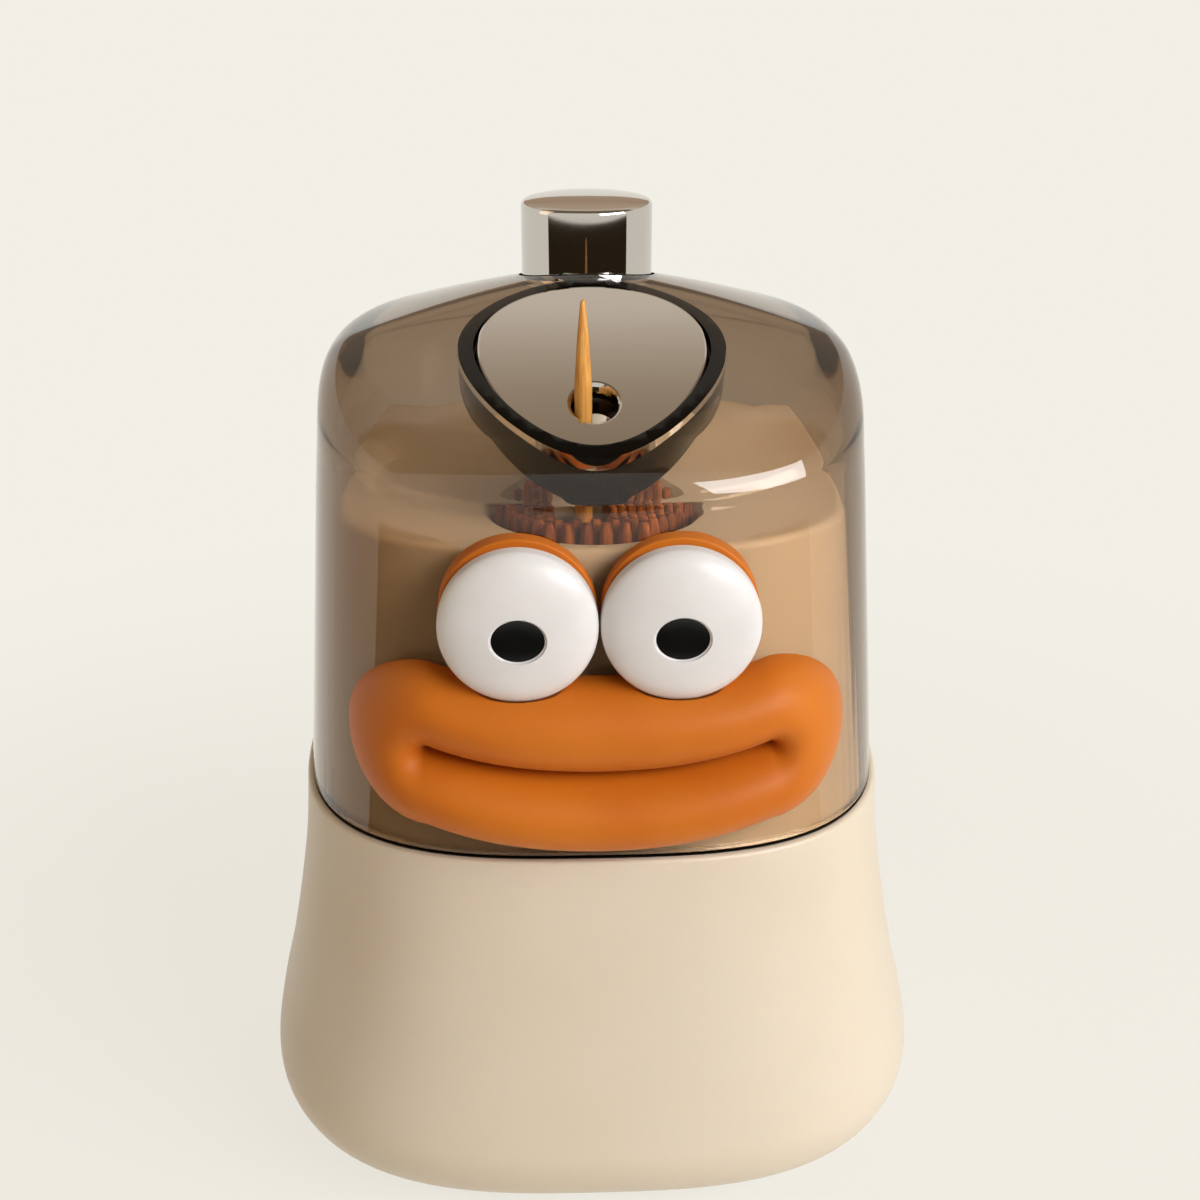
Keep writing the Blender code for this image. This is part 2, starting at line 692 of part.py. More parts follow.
def make_cover():
    floor_top = -MIRROR_THICK - GAP
    floor_low = floor_top - POCKET_FLOOR
    skirt_low = floor_low - POCKET_SKIRT
    cover = part("smoky_cover", cover_block(0, COVER_FOOT_Z), material("smoky_san", (0.30, 0.24, 0.19), 0.05, alpha=0.45))
    hollow = tool("cover_hollow", cover_block(-COVER_WALL, COVER_FOOT_Z - OVERRUN))
    cut(hollow, tool("pocket_plug", egg_prism(GAP + POCKET_WALL, skirt_low, DOME_HEIGHT)))
    pocket = tool("pocket_room", egg_prism(GAP, floor_top, DOME_HEIGHT))
    under = tool("pocket_under", egg_prism(GAP - POCKET_WALL, skirt_low - OVERRUN, floor_low))
    knob_room = cylinder(KNOB_RADIUS + KNOB_CLEARANCE, DECK_Z, COVER_TOP_Z + OVERRUN, (0, KNOB_Y), 48)
    cut(cover, hollow, pocket, under, tool("knob_room", knob_room), tool("pocket_pick_hole", pick_hole()))
    weld(cover)
    return cover


def pick_hole():
    return cylinder(HOLE_RADIUS, DECK_Z, KNOB_TOP_Z, (0, PICK_Y - HOLE_FORWARD), 32)


def make_mirror_plate():
    plate = part("mirror_plate", egg_prism(0, -MIRROR_THICK, 0), chrome())
    cut(plate, tool("mirror_pick_hole", pick_hole()))
    return plate


def make_knob_cap():
    top_half = KNOB_RADIUS - KNOB_ROUND
    rim_z = KNOB_TOP_Z - KNOB_CROWN
    slope = math.sqrt(0.5)
    inside = KNOB_RADIUS - KNOB_WALL
    ceiling = KNOB_TOP_Z - KNOB_CROWN - KNOB_TOP_WALL
    bore = STEM_RADIUS + GAP
    boss = bore + STEM_BOSS_WALL
    profile = [
        (0, KNOB_TOP_Z), (top_half / 2, KNOB_TOP_Z - KNOB_CROWN / 4), (top_half, rim_z),
        (top_half + KNOB_ROUND * slope, rim_z - KNOB_ROUND * (1 - slope)), (KNOB_RADIUS, rim_z - KNOB_ROUND),
        (KNOB_RADIUS, KNOB_FOOT_Z), (inside, KNOB_FOOT_Z), (inside, ceiling), (boss, ceiling),
        (boss, KNOB_BOSS_FOOT_Z), (bore, KNOB_BOSS_FOOT_Z), (bore, ceiling), (0, ceiling),
    ]
    return part("knob_cap", turned(profile, 40, (0, KNOB_Y)), chrome(), (0, KNOB_Y, KNOB_FOOT_Z))


def rack_outline(pitch_y, out, low, high, centred):
    """A rack's toothed edge from low to high. centred puts a tooth at the axle's height, else a gap."""
    pitch = math.pi * MODULE
    half = pitch / 4 - TOOTH_THINNING / 2
    tip = half - TOOTH_TIP * math.tan(PRESSURE_ANGLE)
    root = half + TOOTH_ROOT * math.tan(PRESSURE_ANGLE)
    tip_y = pitch_y + out * TOOTH_TIP
    root_y = pitch_y - out * TOOTH_ROOT
    shift = 0.0 if centred else pitch / 2
    first = math.ceil((low + root - AXLE_Z - shift) / pitch)
    last = math.floor((high - root - AXLE_Z - shift) / pitch)
    points = [(root_y, low)]
    for tooth in range(first, last + 1):
        z = AXLE_Z + shift + tooth * pitch
        points += [(root_y, z - root), (tip_y, z - tip), (tip_y, z + tip), (root_y, z + root)]
    points.append((root_y, high))
    return points


def gear_outline(teeth, start):
    """Involute teeth, counted from the direction start, on a stub-tooth blank centred at the axle."""
    pitch_radius = MODULE * teeth / 2
    base_radius = pitch_radius * math.cos(PRESSURE_ANGLE)
    tip_radius = pitch_radius + TOOTH_TIP
    root_radius = pitch_radius - TOOTH_ROOT
    at_pitch = math.pi / (2 * teeth) - TOOTH_THINNING / (2 * pitch_radius)
    involute_at_pitch = math.tan(PRESSURE_ANGLE) - PRESSURE_ANGLE
    flank = []
    for step in range(FLANK_STEPS + 1):
        low = max(base_radius, root_radius)
        radius = low + (tip_radius - low) * step / FLANK_STEPS
        angle = math.acos(min(1.0, base_radius / radius))
        flank.append((radius, at_pitch + involute_at_pitch - (math.tan(angle) - angle)))
    if root_radius < base_radius:
        flank.insert(0, (root_radius, flank[0][1]))
    points = []
    for tooth in range(teeth):
        middle = start + math.tau * tooth / teeth
        for radius, half in flank:
            points.append((AXLE_Y + radius * math.cos(middle - half), AXLE_Z + radius * math.sin(middle - half)))
        for radius, half in reversed(flank):
            points.append((AXLE_Y + radius * math.cos(middle + half), AXLE_Z + radius * math.sin(middle + half)))
    return points


def across_cylinder(radius, low_x, high_x, y, z, sides=24):
    """A cylinder along X."""
    outline = []
    for step in range(sides):
        turn = math.tau * step / sides
        outline.append((y + radius * math.cos(turn), z + radius * math.sin(turn)))
    return side_prism(outline, low_x, high_x)


def make_step_gear():
    gear = part("step_gear", side_prism(gear_outline(WHEEL_TEETH, 0), WHEEL_LOW_X, WHEEL_HIGH_X), acetal(),
                (PICK_X, AXLE_Y, AXLE_Z))
    overlap = WHEEL_WIDTH / 2
    pinion = side_prism(gear_outline(PINION_TEETH, 0), WHEEL_HIGH_X - overlap, PINION_HIGH_X)
    join(gear, tool("pinion", pinion))
    bore = across_cylinder(AXLE_RADIUS + GAP, WHEEL_LOW_X - OVERRUN, PINION_HIGH_X + OVERRUN, AXLE_Y, AXLE_Z, 20)
    cut(gear, tool("gear_bore", bore))
    for number in range(WHEEL_WINDOWS):
        turn = math.tau * (number + 0.5) / WHEEL_WINDOWS
        y = AXLE_Y + WHEEL_WINDOW_PLACE * math.cos(turn)
        z = AXLE_Z + WHEEL_WINDOW_PLACE * math.sin(turn)
        window = across_cylinder(WHEEL_WINDOW_RADIUS, WHEEL_LOW_X - OVERRUN, PINION_HIGH_X + OVERRUN, y, z, 12)
        cut(gear, tool(f"wheel_window_{number}", window))
    return gear


def make_push_bar():
    back_y = PUSH_PITCH_Y + TOOTH_ROOT + RACK_BACK
    top = KNOB_TOP_Z - KNOB_CROWN - KNOB_TOP_WALL - GAP
    teeth = rack_outline(PUSH_PITCH_Y, -1, PUSH_RACK_FOOT_Z, BRIDGE_TOP_Z - BRIDGE_THICK / 2, False)
    rack = side_prism([*teeth, (back_y, BRIDGE_TOP_Z - BRIDGE_THICK / 2), (back_y, PUSH_RACK_FOOT_Z)],
                      RACK_LOW_X, RACK_HIGH_X)
    bar = part("push_bar", rack, acetal(), (0, KNOB_Y, BRIDGE_TOP_Z))
    bridge = box((-STEM_RADIUS, KNOB_Y - STEM_RADIUS, BRIDGE_TOP_Z - BRIDGE_THICK), (RACK_HIGH_X, back_y, BRIDGE_TOP_Z))
    stem = cylinder(STEM_RADIUS, BRIDGE_TOP_Z - BRIDGE_THICK / 2, top, (0, KNOB_Y), 24)
    join(bar, tool("bridge", bridge), tool("stem", stem))
    return bar


def make_lifter():
    teeth = rack_outline(LIFT_PITCH_Y, 1, CARRIAGE_FOOT_Z, CARRIAGE_TOP_Z, True)
    front_y = (CARRIAGE_FRONT_Y + ROD_Y - ROD_RADIUS - GAP) / 2
    rack = side_prism([*teeth, (LUG_BACK_Y / 2, CARRIAGE_TOP_Z), (LUG_BACK_Y / 2, CARRIAGE_FOOT_Z)],
                      WHEEL_LOW_X, WHEEL_HIGH_X)
    lifter = part("lifter", rack, acetal(), (PICK_X, LIFT_PITCH_Y, CARRIAGE_FOOT_Z))
    carriage = box((PICK_X - CARRIAGE_HALF, CARRIAGE_FRONT_Y, CARRIAGE_FOOT_Z),
                   (PICK_X + CARRIAGE_HALF, LUG_BACK_Y, CARRIAGE_TOP_Z))
    tip_y = PICK_Y - FINGER_PAST
    finger = side_prism([
        (front_y, FINGER_TOP_Z - FINGER_ROOT_DEPTH), (front_y, FINGER_TOP_Z), (tip_y, FINGER_TOP_Z),
        (tip_y, FINGER_TOP_Z - FINGER_TIP_DEPTH),
    ], PICK_X - FINGER_HALF, PICK_X + FINGER_HALF)
    join(lifter, tool("carriage", carriage), tool("finger", finger))
    bore = cylinder(ROD_RADIUS + GAP, CARRIAGE_FOOT_Z - OVERRUN, CARRIAGE_TOP_Z + OVERRUN, (PICK_X, ROD_Y), 16)
    cut(lifter, tool("carriage_bore", bore))
    return lifter


def make_guide_rod():
    low = LOW_LUG_Z + LUG_FLOOR + GAP
    high = HIGH_LUG_Z + LUG_THICK
    return part("guide_rod", cylinder(ROD_RADIUS, low, high, (PICK_X, ROD_Y), 16), steel(), (PICK_X, ROD_Y, low))


def make_gear_bracket():
    floor_low = PLATE_TOP_Z + GAP
    floor_top = floor_low + BRACKET_FLOOR
    top = AXLE_Z + CHEEK_ABOVE_AXLE
    floor_box = box((BRACKET_LOW_X, AXLE_Y - CHEEK_FOOT_HALF, floor_low), (BRACKET_HIGH_X, AXLE_Y + CHEEK_FOOT_HALF, floor_top))
    bracket = part("gear_bracket", floor_box, cream())
    outline = [
        (AXLE_Y - CHEEK_FOOT_HALF, floor_low + BRACKET_FLOOR / 2), (AXLE_Y + CHEEK_FOOT_HALF, floor_low + BRACKET_FLOOR / 2),
        (AXLE_Y + CHEEK_TOP_HALF, top), (AXLE_Y - CHEEK_TOP_HALF, top),
    ]
    left = side_prism(outline, BRACKET_LOW_X, BRACKET_LOW_X + CHEEK)
    right = side_prism(outline, BRACKET_HIGH_X - CHEEK, BRACKET_HIGH_X)
    join(bracket, tool("left_cheek", left), tool("right_cheek", right))
    for number, (x, y) in enumerate(bracket_screw_places(), 1):
        boss = cylinder(BRACKET_BOSS_RADIUS, floor_low + BRACKET_FLOOR / 2, floor_top + BRACKET_BOSS_HEIGHT, (x, y), 20)
        bore = cylinder(SCREW_SHANK_RADIUS + GAP, 0, floor_top + BRACKET_BOSS_HEIGHT - BRACKET_FLOOR / 2, (x, y), 16)
        join(bracket, tool(f"bracket_boss_{number}", boss))
        cut(bracket, tool(f"bracket_bore_{number}", bore))
    axle_bore = across_cylinder(AXLE_RADIUS + GAP, BRACKET_LOW_X - OVERRUN, BRACKET_HIGH_X + OVERRUN, AXLE_Y, AXLE_Z)
    cut(bracket, tool("bracket_axle_bore", axle_bore))
    return bracket


def make_axle():
    reach = GAP + CLIP_THICK + GAP
    axle = across_cylinder(AXLE_RADIUS, BRACKET_LOW_X - reach, BRACKET_HIGH_X + reach, AXLE_Y, AXLE_Z)
    part("gear_axle", axle, steel(), (PICK_X, AXLE_Y, AXLE_Z))
    for name, inner, out in (("left", BRACKET_LOW_X, -1), ("right", BRACKET_HIGH_X, 1)):
        low, high = sorted((inner + out * GAP, inner + out * (GAP + CLIP_THICK)))
        clip = part(f"axle_clip_{name}", across_cylinder(CLIP_RADIUS, low, high, AXLE_Y, AXLE_Z, 20), steel())
        hole = across_cylinder(AXLE_RADIUS + GAP, low - OVERRUN, high + OVERRUN, AXLE_Y, AXLE_Z)
        mouth = box((low - OVERRUN, AXLE_Y - CLIP_MOUTH_HALF, AXLE_Z), (high + OVERRUN, AXLE_Y + CLIP_MOUTH_HALF, AXLE_Z + OVERRUN))
        cut(clip, tool(f"clip_hole_{name}", hole), tool(f"clip_mouth_{name}", mouth))


def make_stem_bush():
    bore = STEM_RADIUS + GAP
    flange_low = DECK_Z + GAP
    profile = [
        (bore, FLANGE_TOP_Z), (BUSH_FLANGE_RADIUS, FLANGE_TOP_Z), (BUSH_FLANGE_RADIUS, flange_low),
        (BUSH_RADIUS, flange_low), (BUSH_RADIUS, DECK_Z - BUSH_BELOW), (bore, DECK_Z - BUSH_BELOW),
    ]
    return part("stem_bush", turned(profile, 24, (0, KNOB_Y)), acetal(), (0, KNOB_Y, DECK_Z))


def make_return_spring():
    """One unbroken wire: closed end coils, open coils between, straight ends."""
    low = FLANGE_TOP_Z + GAP + SPRING_WIRE_RADIUS
    high = KNOB_BOSS_FOOT_Z - GAP - SPRING_WIRE_RADIUS
    count = SPRING_TURNS * SPRING_POINTS_A_TURN
    closed = SPRING_WIRE_RADIUS * 2 + GAP * 2
    points = []
    for step in range(count + 1):
        turns = step / SPRING_POINTS_A_TURN
        ending = min(turns, SPRING_TURNS - turns)
        ease = min(1.0, ending / SPRING_DEAD_TURNS)
        open_turns = SPRING_TURNS - 2 * SPRING_DEAD_TURNS
        inner_low = low + closed * SPRING_DEAD_TURNS
        inner_high = high - closed * SPRING_DEAD_TURNS
        if ease < 1.0:
            z = low + closed * turns if turns < SPRING_TURNS / 2 else high - closed * (SPRING_TURNS - turns)
        else:
            z = inner_low + (inner_high - inner_low) * (turns - SPRING_DEAD_TURNS) / open_turns
        angle = math.tau * turns
        points.append(Vector((SPRING_COIL_RADIUS * math.cos(angle), KNOB_Y + SPRING_COIL_RADIUS * math.sin(angle), z)))
    gap = least_coil_gap(points)
    print(f"return_spring least gap to itself: {gap * 1000:.2f} mm")
    curve = bpy.data.curves.new("return_spring", "CURVE")
    curve.dimensions = "3D"
    curve.bevel_depth = SPRING_WIRE_RADIUS
    curve.bevel_resolution = 1
    curve.use_fill_caps = True
    spline = curve.splines.new("POLY")
    spline.points.add(len(points) - 1)
    for point, place in zip(spline.points, points):
        point.co = (*place, 1)
    wire = bpy.data.objects.new("return_spring_wire", curve)
    bpy.data.collections[CUTTERS].objects.link(wire)
    bm = bmesh.new()
    bm.from_mesh(bpy.data.meshes.new_from_object(wire))
    bpy.data.objects.remove(wire)
    bmesh.ops.remove_doubles(bm, verts=bm.verts, dist=GAP / 10)
    return part("return_spring", bm, steel(), (0, KNOB_Y, FLANGE_TOP_Z))


def least_coil_gap(points):
    """Smallest clear distance between points at least half a turn apart."""
    apart = SPRING_POINTS_A_TURN // 2
    nearest = min(
        (points[i] - points[j]).length
        for i in range(len(points))
        for j in range(i + apart, len(points))
    )
    return nearest - 2 * SPRING_WIRE_RADIUS


def facing_disc(profile, centre_x, centre_z, sides=32):
    """Turns a (radius, depth towards the viewer) profile round an axis along Y."""
    bm = turned(profile, sides)
    facing = Matrix.Translation((centre_x, 0, centre_z)) @ Matrix.Rotation(math.pi / 2, 4, "X")
    bmesh.ops.transform(bm, matrix=facing, verts=bm.verts)
    return bm


def oval_plug(half_x, half_z, centre_x, centre_z, back_y, front_y):
    bm = facing_disc(((0, -back_y), (1, -back_y), (1, -front_y), (0, -front_y)), 0, 0, 28)
    bmesh.ops.transform(bm, matrix=Matrix.Translation((centre_x, 0, centre_z)) @ Matrix.Diagonal((half_x, 1, half_z, 1)),
                        verts=bm.verts)
    return bm


def eye_profile(grow):
    """A domed disc: back at the eye's back plane, front crowned."""
    back = -EYE_BACK_Y - grow
    rim = -EYE_BACK_Y + EYE_RIM
    points = [(0, back), (EYE_RADIUS + grow, back), (EYE_RADIUS + grow, rim)]
    for step in range(1, EYE_STEPS):
        turn = math.pi / 2 * step / EYE_STEPS
        points.append(((EYE_RADIUS + grow) * math.cos(turn) ** 0.8, rim + (EYE_DOME + grow) * math.sin(turn)))
    points.append((0, rim + EYE_DOME + grow))
    return points


def make_eye(side, x):
    pupil_z = EYE_Z - PUPIL_DROP
    front_y = EYE_BACK_Y - EYE_RIM - EYE_DOME
    seat_y = front_y + PUPIL_DEEP + GAP
    white = part(f"eye_white_{side}", facing_disc(eye_profile(0), x, EYE_Z), material("white_gloss", (0.86, 0.85, 0.84), 0.25),
                 (x, EYE_BACK_Y, EYE_Z))
    room = oval_plug(PUPIL_HALF_X + GAP, PUPIL_HALF_Z + GAP, x, pupil_z, seat_y, front_y - OVERRUN)
    cut(white, tool(f"pupil_room_{side}", room))
    pupil = oval_plug(PUPIL_HALF_X, PUPIL_HALF_Z, x, pupil_z, seat_y - GAP, front_y - PUPIL_PROUD + GAP)
    part(f"eye_pupil_{side}", pupil, material("black_gloss", (0.01, 0.01, 0.01), 0.2), (x, seat_y, pupil_z))
    back = COVER_SHOULDER_HALF - COVER_WALL
    lid_profile = [
        (0, back), (EYE_RADIUS, back), (EYE_RADIUS, -LID_FRONT_Y - LID_ROUND),
        (EYE_RADIUS - LID_ROUND, -LID_FRONT_Y), (0, -LID_FRONT_Y),
    ]
    lid = part(f"eyelid_{side}", facing_disc(lid_profile, x, EYE_Z + LID_RISE), orange(), (x, LID_FRONT_Y, EYE_Z))
    cut(lid, bpy.data.objects["cover_seat"])
    clear = facing_disc(eye_profile(GAP), x, EYE_Z)
    lid_clear = facing_disc([(r + GAP if r > 0 else 0, d) for r, d in lid_profile], x, EYE_Z + LID_RISE)
    return tool(f"eye_clear_{side}", clear), tool(f"lid_clear_{side}", lid_clear)


def slit_z(x):
    return SLIT_Z + SLIT_SMILE * (x / SLIT_HALF) ** 2


def plan_depth(half, x):
    """How far the cover's rounded-square plan reaches forward at a place across it."""
    return half * (1 - min(1.0, abs(x) / half) ** PLAN_POWER) ** (1 / PLAN_POWER)


def lip_point(share, around):
    """One point of the lips: share runs from end to end, around goes round the section."""
    x = LIP_HALF * share
    end = max(0.0, 1 - abs(share) ** LIP_ROUND_POWER) ** (1 / 2)
    height = LIP_HALF_HEIGHT * (1 + LIP_END_GROWTH_SHARE * share * share) * end
    z = LIP_Z + LIP_SMILE * share * share + height * math.sin(around)
    depth = LIP_PROUD * end ** 0.7 * math.cos(around)
    near = math.exp(-(((z - slit_z(x)) / SLIT_VALLEY_REACH) ** 2))
    fade = max(0.0, 1 - (abs(x) / SLIT_HALF) ** 4) if abs(x) < SLIT_HALF else 0.0
    if depth > 0:
        depth = max(depth - SLIT_VALLEY * near * fade, depth / 4)
    half = cover_half(LIP_Z)
    return Vector((x, -plan_depth(half, x) - depth, z))


def make_lips(*clear):
    """Fat lips lofted from end to end, with a valley that the smile slit lies in."""
    bm = bmesh.new()
    rings = []
    for station in range(1, LIP_STATIONS):
        share = -math.cos(math.pi * station / LIP_STATIONS)
        ring = [bm.verts.new(lip_point(share, math.tau * step / LIP_SIDES)) for step in range(LIP_SIDES)]
        rings.append(ring)
    loops = []
    for ring in rings:
        loops.append([bm.edges.new((a, b)) for a, b in zip(ring, ring[1:] + ring[:1])])
    for first, second in zip(loops, loops[1:]):
        bmesh.ops.bridge_loops(bm, edges=first + second)
    for share, ring in ((-1, rings[0]), (1, rings[-1])):
        tip = bm.verts.new(lip_point(share, 0))
        for a, b in zip(ring, ring[1:] + ring[:1]):
            bm.faces.new((a, b, tip))
    lips = part("lips", bm, orange(), (0, -COVER_FOOT_HALF, LIP_Z))
    cut(lips, bpy.data.objects["cover_seat"], tool("smile_slit", smile_slit()), *clear)
    return lips


def smile_slit():
    """A thin curved blade that opens the smile."""
    steps = 16
    upper, lower = [], []
    for step in range(steps + 1):
        share = 2 * step / steps - 1
        x = SLIT_HALF * share
        half = SLIT_HALF_HEIGHT * (1.35 - share * share)
        upper.append((x, slit_z(x) + half))
        lower.append((x, slit_z(x) - half))
    bm = prism(upper + lower[::-1], lambda x, z: Vector((x, -COVER_FOOT_HALF - OVERRUN * 2, z)), Vector((0, OVERRUN * 2, 0)))
    for vert in bm.verts:
        if vert.co.y > -COVER_FOOT_HALF - OVERRUN:
            vert.co.y = -plan_depth(cover_half(LIP_Z), vert.co.x) - LIP_PROUD + SLIT_VALLEY + SLIT_DEPTH
    return bm


def make_face():
    tool("cover_seat", cover_block(GAP, COVER_FOOT_Z - OVERRUN))
    clear = []
    for side, x in (("left", -EYE_SIDE), ("right", EYE_SIDE)):
        clear += make_eye(side, x)
    make_lips(*clear)


def main():
    clear_scene()
    make_base_shell()
    make_base_plate()
    make_pad()
    make_screws()
    make_inner_body()
    make_toothpick_bundle()
    make_raised_toothpick()
    make_stem_bush()
    make_return_spring()
    make_gear_bracket()
    make_axle()
    make_step_gear()
    make_push_bar()
    make_lifter()
    make_guide_rod()
    make_cover()
    make_mirror_plate()
    make_knob_cap()
    make_face()


main()
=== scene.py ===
"""Press-top toothpick dispenser: the visible pieces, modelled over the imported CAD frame.

The face looks along -Y and +Z is up. Lengths are metres unless a name says mm. A name that ends in Z
is a height above the table, and one that ends in HALF is half a width of the rounded-square plan.
"""

import json
import math

import bmesh
import bpy
from bpy.props import FloatProperty, FloatVectorProperty, IntProperty, PointerProperty
from mathutils import Matrix, Vector


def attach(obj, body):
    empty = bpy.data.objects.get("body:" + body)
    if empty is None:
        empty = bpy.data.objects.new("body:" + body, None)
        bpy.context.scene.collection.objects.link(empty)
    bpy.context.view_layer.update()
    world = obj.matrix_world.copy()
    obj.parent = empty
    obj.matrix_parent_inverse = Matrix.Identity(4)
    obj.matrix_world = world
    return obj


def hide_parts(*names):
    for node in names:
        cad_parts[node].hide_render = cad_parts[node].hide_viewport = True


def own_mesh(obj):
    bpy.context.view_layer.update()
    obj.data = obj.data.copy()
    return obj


bl_info = {
    "name": "Toothpick Dispenser",
    "version": (1, 0, 0),
    "blender": (4, 5, 0),
    "location": "View3D > Sidebar > Dispenser",
    "description": "Builds a press-top toothpick dispenser over its CAD frame",
    "category": "Mesh",
}

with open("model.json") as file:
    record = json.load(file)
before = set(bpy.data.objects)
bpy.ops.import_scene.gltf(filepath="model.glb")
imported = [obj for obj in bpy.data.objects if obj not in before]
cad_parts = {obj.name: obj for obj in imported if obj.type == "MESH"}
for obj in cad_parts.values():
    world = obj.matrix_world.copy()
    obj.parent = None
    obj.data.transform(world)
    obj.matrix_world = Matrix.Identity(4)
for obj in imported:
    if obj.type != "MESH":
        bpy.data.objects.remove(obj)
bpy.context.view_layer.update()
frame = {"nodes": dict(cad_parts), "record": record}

MM = 0.001
# Room between a piece and what it sits on
GAP = 0.3 * MM
# How far a cutting shape reaches past what it cuts
OVERRUN = 4.0 * MM
# The plan is x^power + y^power = half^power, so 2 would be round
PLAN_POWER = 3.0
# Edges that would otherwise coincide stand this far apart
PARTING = 0.05 * MM
# Points closer together than this are one point
MERGE_DISTANCE = 0.001 * MM
# A rounded corner takes up no more than this share of the straight on each side
ROUND_SHARE = 0.45
DECK_Z = 86.0 * MM
PICK_X = -1.25 * MM
PICK_Y = -20.6 * MM

# Base shell, its side as (height, half width)
BASE_SIDE_MM = (
    (1.5, 35.2), (3.2, 38.0), (6.3, 40.9), (10.6, 42.4), (15.9, 41.7), (21.7, 40.3),
    (31.3, 38.5), (40.9, 37.1), (49.5, 36.5),
)
BASE_CURVE_STEPS = 6
RIM_Z = 49.5 * MM
RIM_HALF = 36.5 * MM
MOUTH_HALF = 33.9 * MM
LEDGE_Z = 47.5 * MM
LEDGE_HALF = 31.2 * MM
LEDGE_FOOT_Z = 45.3 * MM
SKIRT_INSIDE_TOP_Z = 44.0 * MM

# Tower, which stands in the base's mouth on a spigot
TOWER_WALL = 2.0 * MM
TOWER_INSET = TOWER_WALL + GAP
TOWER_ROUND = 0.9 * MM
TOWER_FOOT_Z = LEDGE_Z + GAP
TOWER_THICK_TOP_Z = TOWER_FOOT_Z + 2 * TOWER_WALL
SPIGOT_HALF = LEDGE_HALF - GAP
SPIGOT_FOOT_Z = 41.0 * MM
POST_PLACES = (-20.9 * MM, 20.9 * MM)
POST_RADIUS = 3.4 * MM
POST_SIDES = 32
POST_FOOT_Z = 3.9 * MM
POST_TOP_Z = 47.0 * MM
POST_BORE_RADIUS = 1.6 * MM
POST_BORE_TOP_Z = 14.6 * MM

# Pick well, and the lane that keeps one toothpick over the lifter's finger
WELL_Y = -17.0 * MM
WELL_RADIUS = 12.2 * MM
WELL_WALL = 1.1 * MM
WELL_FOOT_Z = 20.0 * MM
WELL_FLOOR_Z = WELL_FOOT_Z + TOWER_WALL
WELL_ROUND = 0.8 * MM
WELL_CHAMFER = 0.7 * MM
WELL_MOUTH_OVERRUN = 0.5 * MM
WELL_SIDES = 96
LANE_HALF_WIDTH = 1.35 * MM
LANE_WALL = 0.9 * MM
LANE_FRONT_Y = -22.85 * MM
LANE_BACK_Y = -4.25 * MM
LANE_FOOT_Z = 21.0 * MM
LANE_TOP_Z = 78.0 * MM
FINGER_SLOT_FRONT_Y = -5.7 * MM
FINGER_SLOT_FOOT_Z = 24.5 * MM
FINGER_SLOT_TOP_Z = 49.0 * MM
LUG_FEET_Z = (WELL_FOOT_Z, 70.0 * MM)
LUG_THICK = 3.0 * MM
LUG_HALF_WIDTH = 3.2 * MM
LUG_BACK_Y = 1.2 * MM
ROD_Y = -1.0 * MM
ROD_BORE_RADIUS = 1.3 * MM
ROD_BORE_FOOT_Z = 21.0 * MM
ROD_BORE_TOP_Z = 77.0 * MM
BUSH_BORE_RADIUS = 4.4 * MM

# Smoky cover
COVER_FOOT_Z = RIM_Z + GAP
COVER_FOOT_HALF = 35.9 * MM
COVER_FOOT_ROUND = 0.5 * MM
COVER_BEND_Z = 87.6 * MM
COVER_SIDE_Z = (COVER_BEND_Z, 90.0 * MM, 92.0 * MM, 94.0 * MM)
COVER_SHOULDER_Z = 97.2 * MM
COVER_SHOULDER_HALF = 32.7 * MM
SHOULDER_STEPS = 16
DOME_HEIGHT = 12.8 * MM
DOME_FALL_POWER = 1.4
DOME_FRONT_POWER = 1.5
DOME_STEPS = 24
KNOB_HOLE_CLEARANCE = 0.4 * MM
KNOB_HOLE_TOP_Z = 114.0 * MM
FOOT_LINE_INSIDE_HALF = 34.2 * MM
FOOT_LINE_OUTSIDE_HALF = COVER_FOOT_HALF - PARTING
FOOT_LINE_LOW_Z = RIM_Z + PARTING
FOOT_LINE_HIGH_Z = COVER_FOOT_Z - PARTING

# Tilted pocket and its mirror plate, with depths measured down from the plate's face
MIRROR_CENTRE = Vector((0, -16.25, 102.66)) * MM
MIRROR_TILT = math.radians(29.1)
MIRROR_THICK = 1.2 * MM
MIRROR_EDGE = 0.4 * MM
# The outline is up to this share wider than an ellipse in its upper half, and narrower in its lower
EGG_SHARE = 0.25
EGG_SIDES = 120
POCKET_FLOOR_DEPTH = MIRROR_THICK + GAP
POCKET_FLOOR_UNDERSIDE = 3.1 * MM
CUP_DEPTH = 5.9 * MM
CUP_EDGE = 0.15 * MM
# The cup starts out taller than the dome, which then cuts its lip, and its own cutter is taller still
CUP_REACH = 14.0 * MM
CUTTER_REACH = 16.0 * MM
UNDERSIDE_CUTTER_DEPTH = 9.0 * MM
HOLE_RADIUS = 2.65 * MM
HOLE_Y = PICK_Y - 0.9 * MM

# Knob, its crown as (radius, height)
KNOB_Y = 7.0 * MM
KNOB_TOP_Z = 118.0 * MM
KNOB_CROWN_MM = ((0, 118.0), (2.6, 117.96), (5.0, 117.82), (6.5, 117.62))
KNOB_SHOULDER_Z = 117.3 * MM
KNOB_WAIST_Z = 110.0 * MM
KNOB_FOOT_Z = 103.5 * MM
KNOB_CEILING_Z = 115.4 * MM
KNOB_RADIUS = 8.1 * MM
KNOB_INSIDE_RADIUS = 6.7 * MM
SOCKET_RADIUS = 4.3 * MM
SOCKET_BORE_RADIUS = 2.8 * MM
SOCKET_FOOT_Z = 105.0 * MM
KNOB_SIDES = 128
KNOB_SHOULDER_ROUND = 1.0 * MM
KNOB_FOOT_ROUND = 0.3 * MM
SOCKET_ROUND = 0.2 * MM

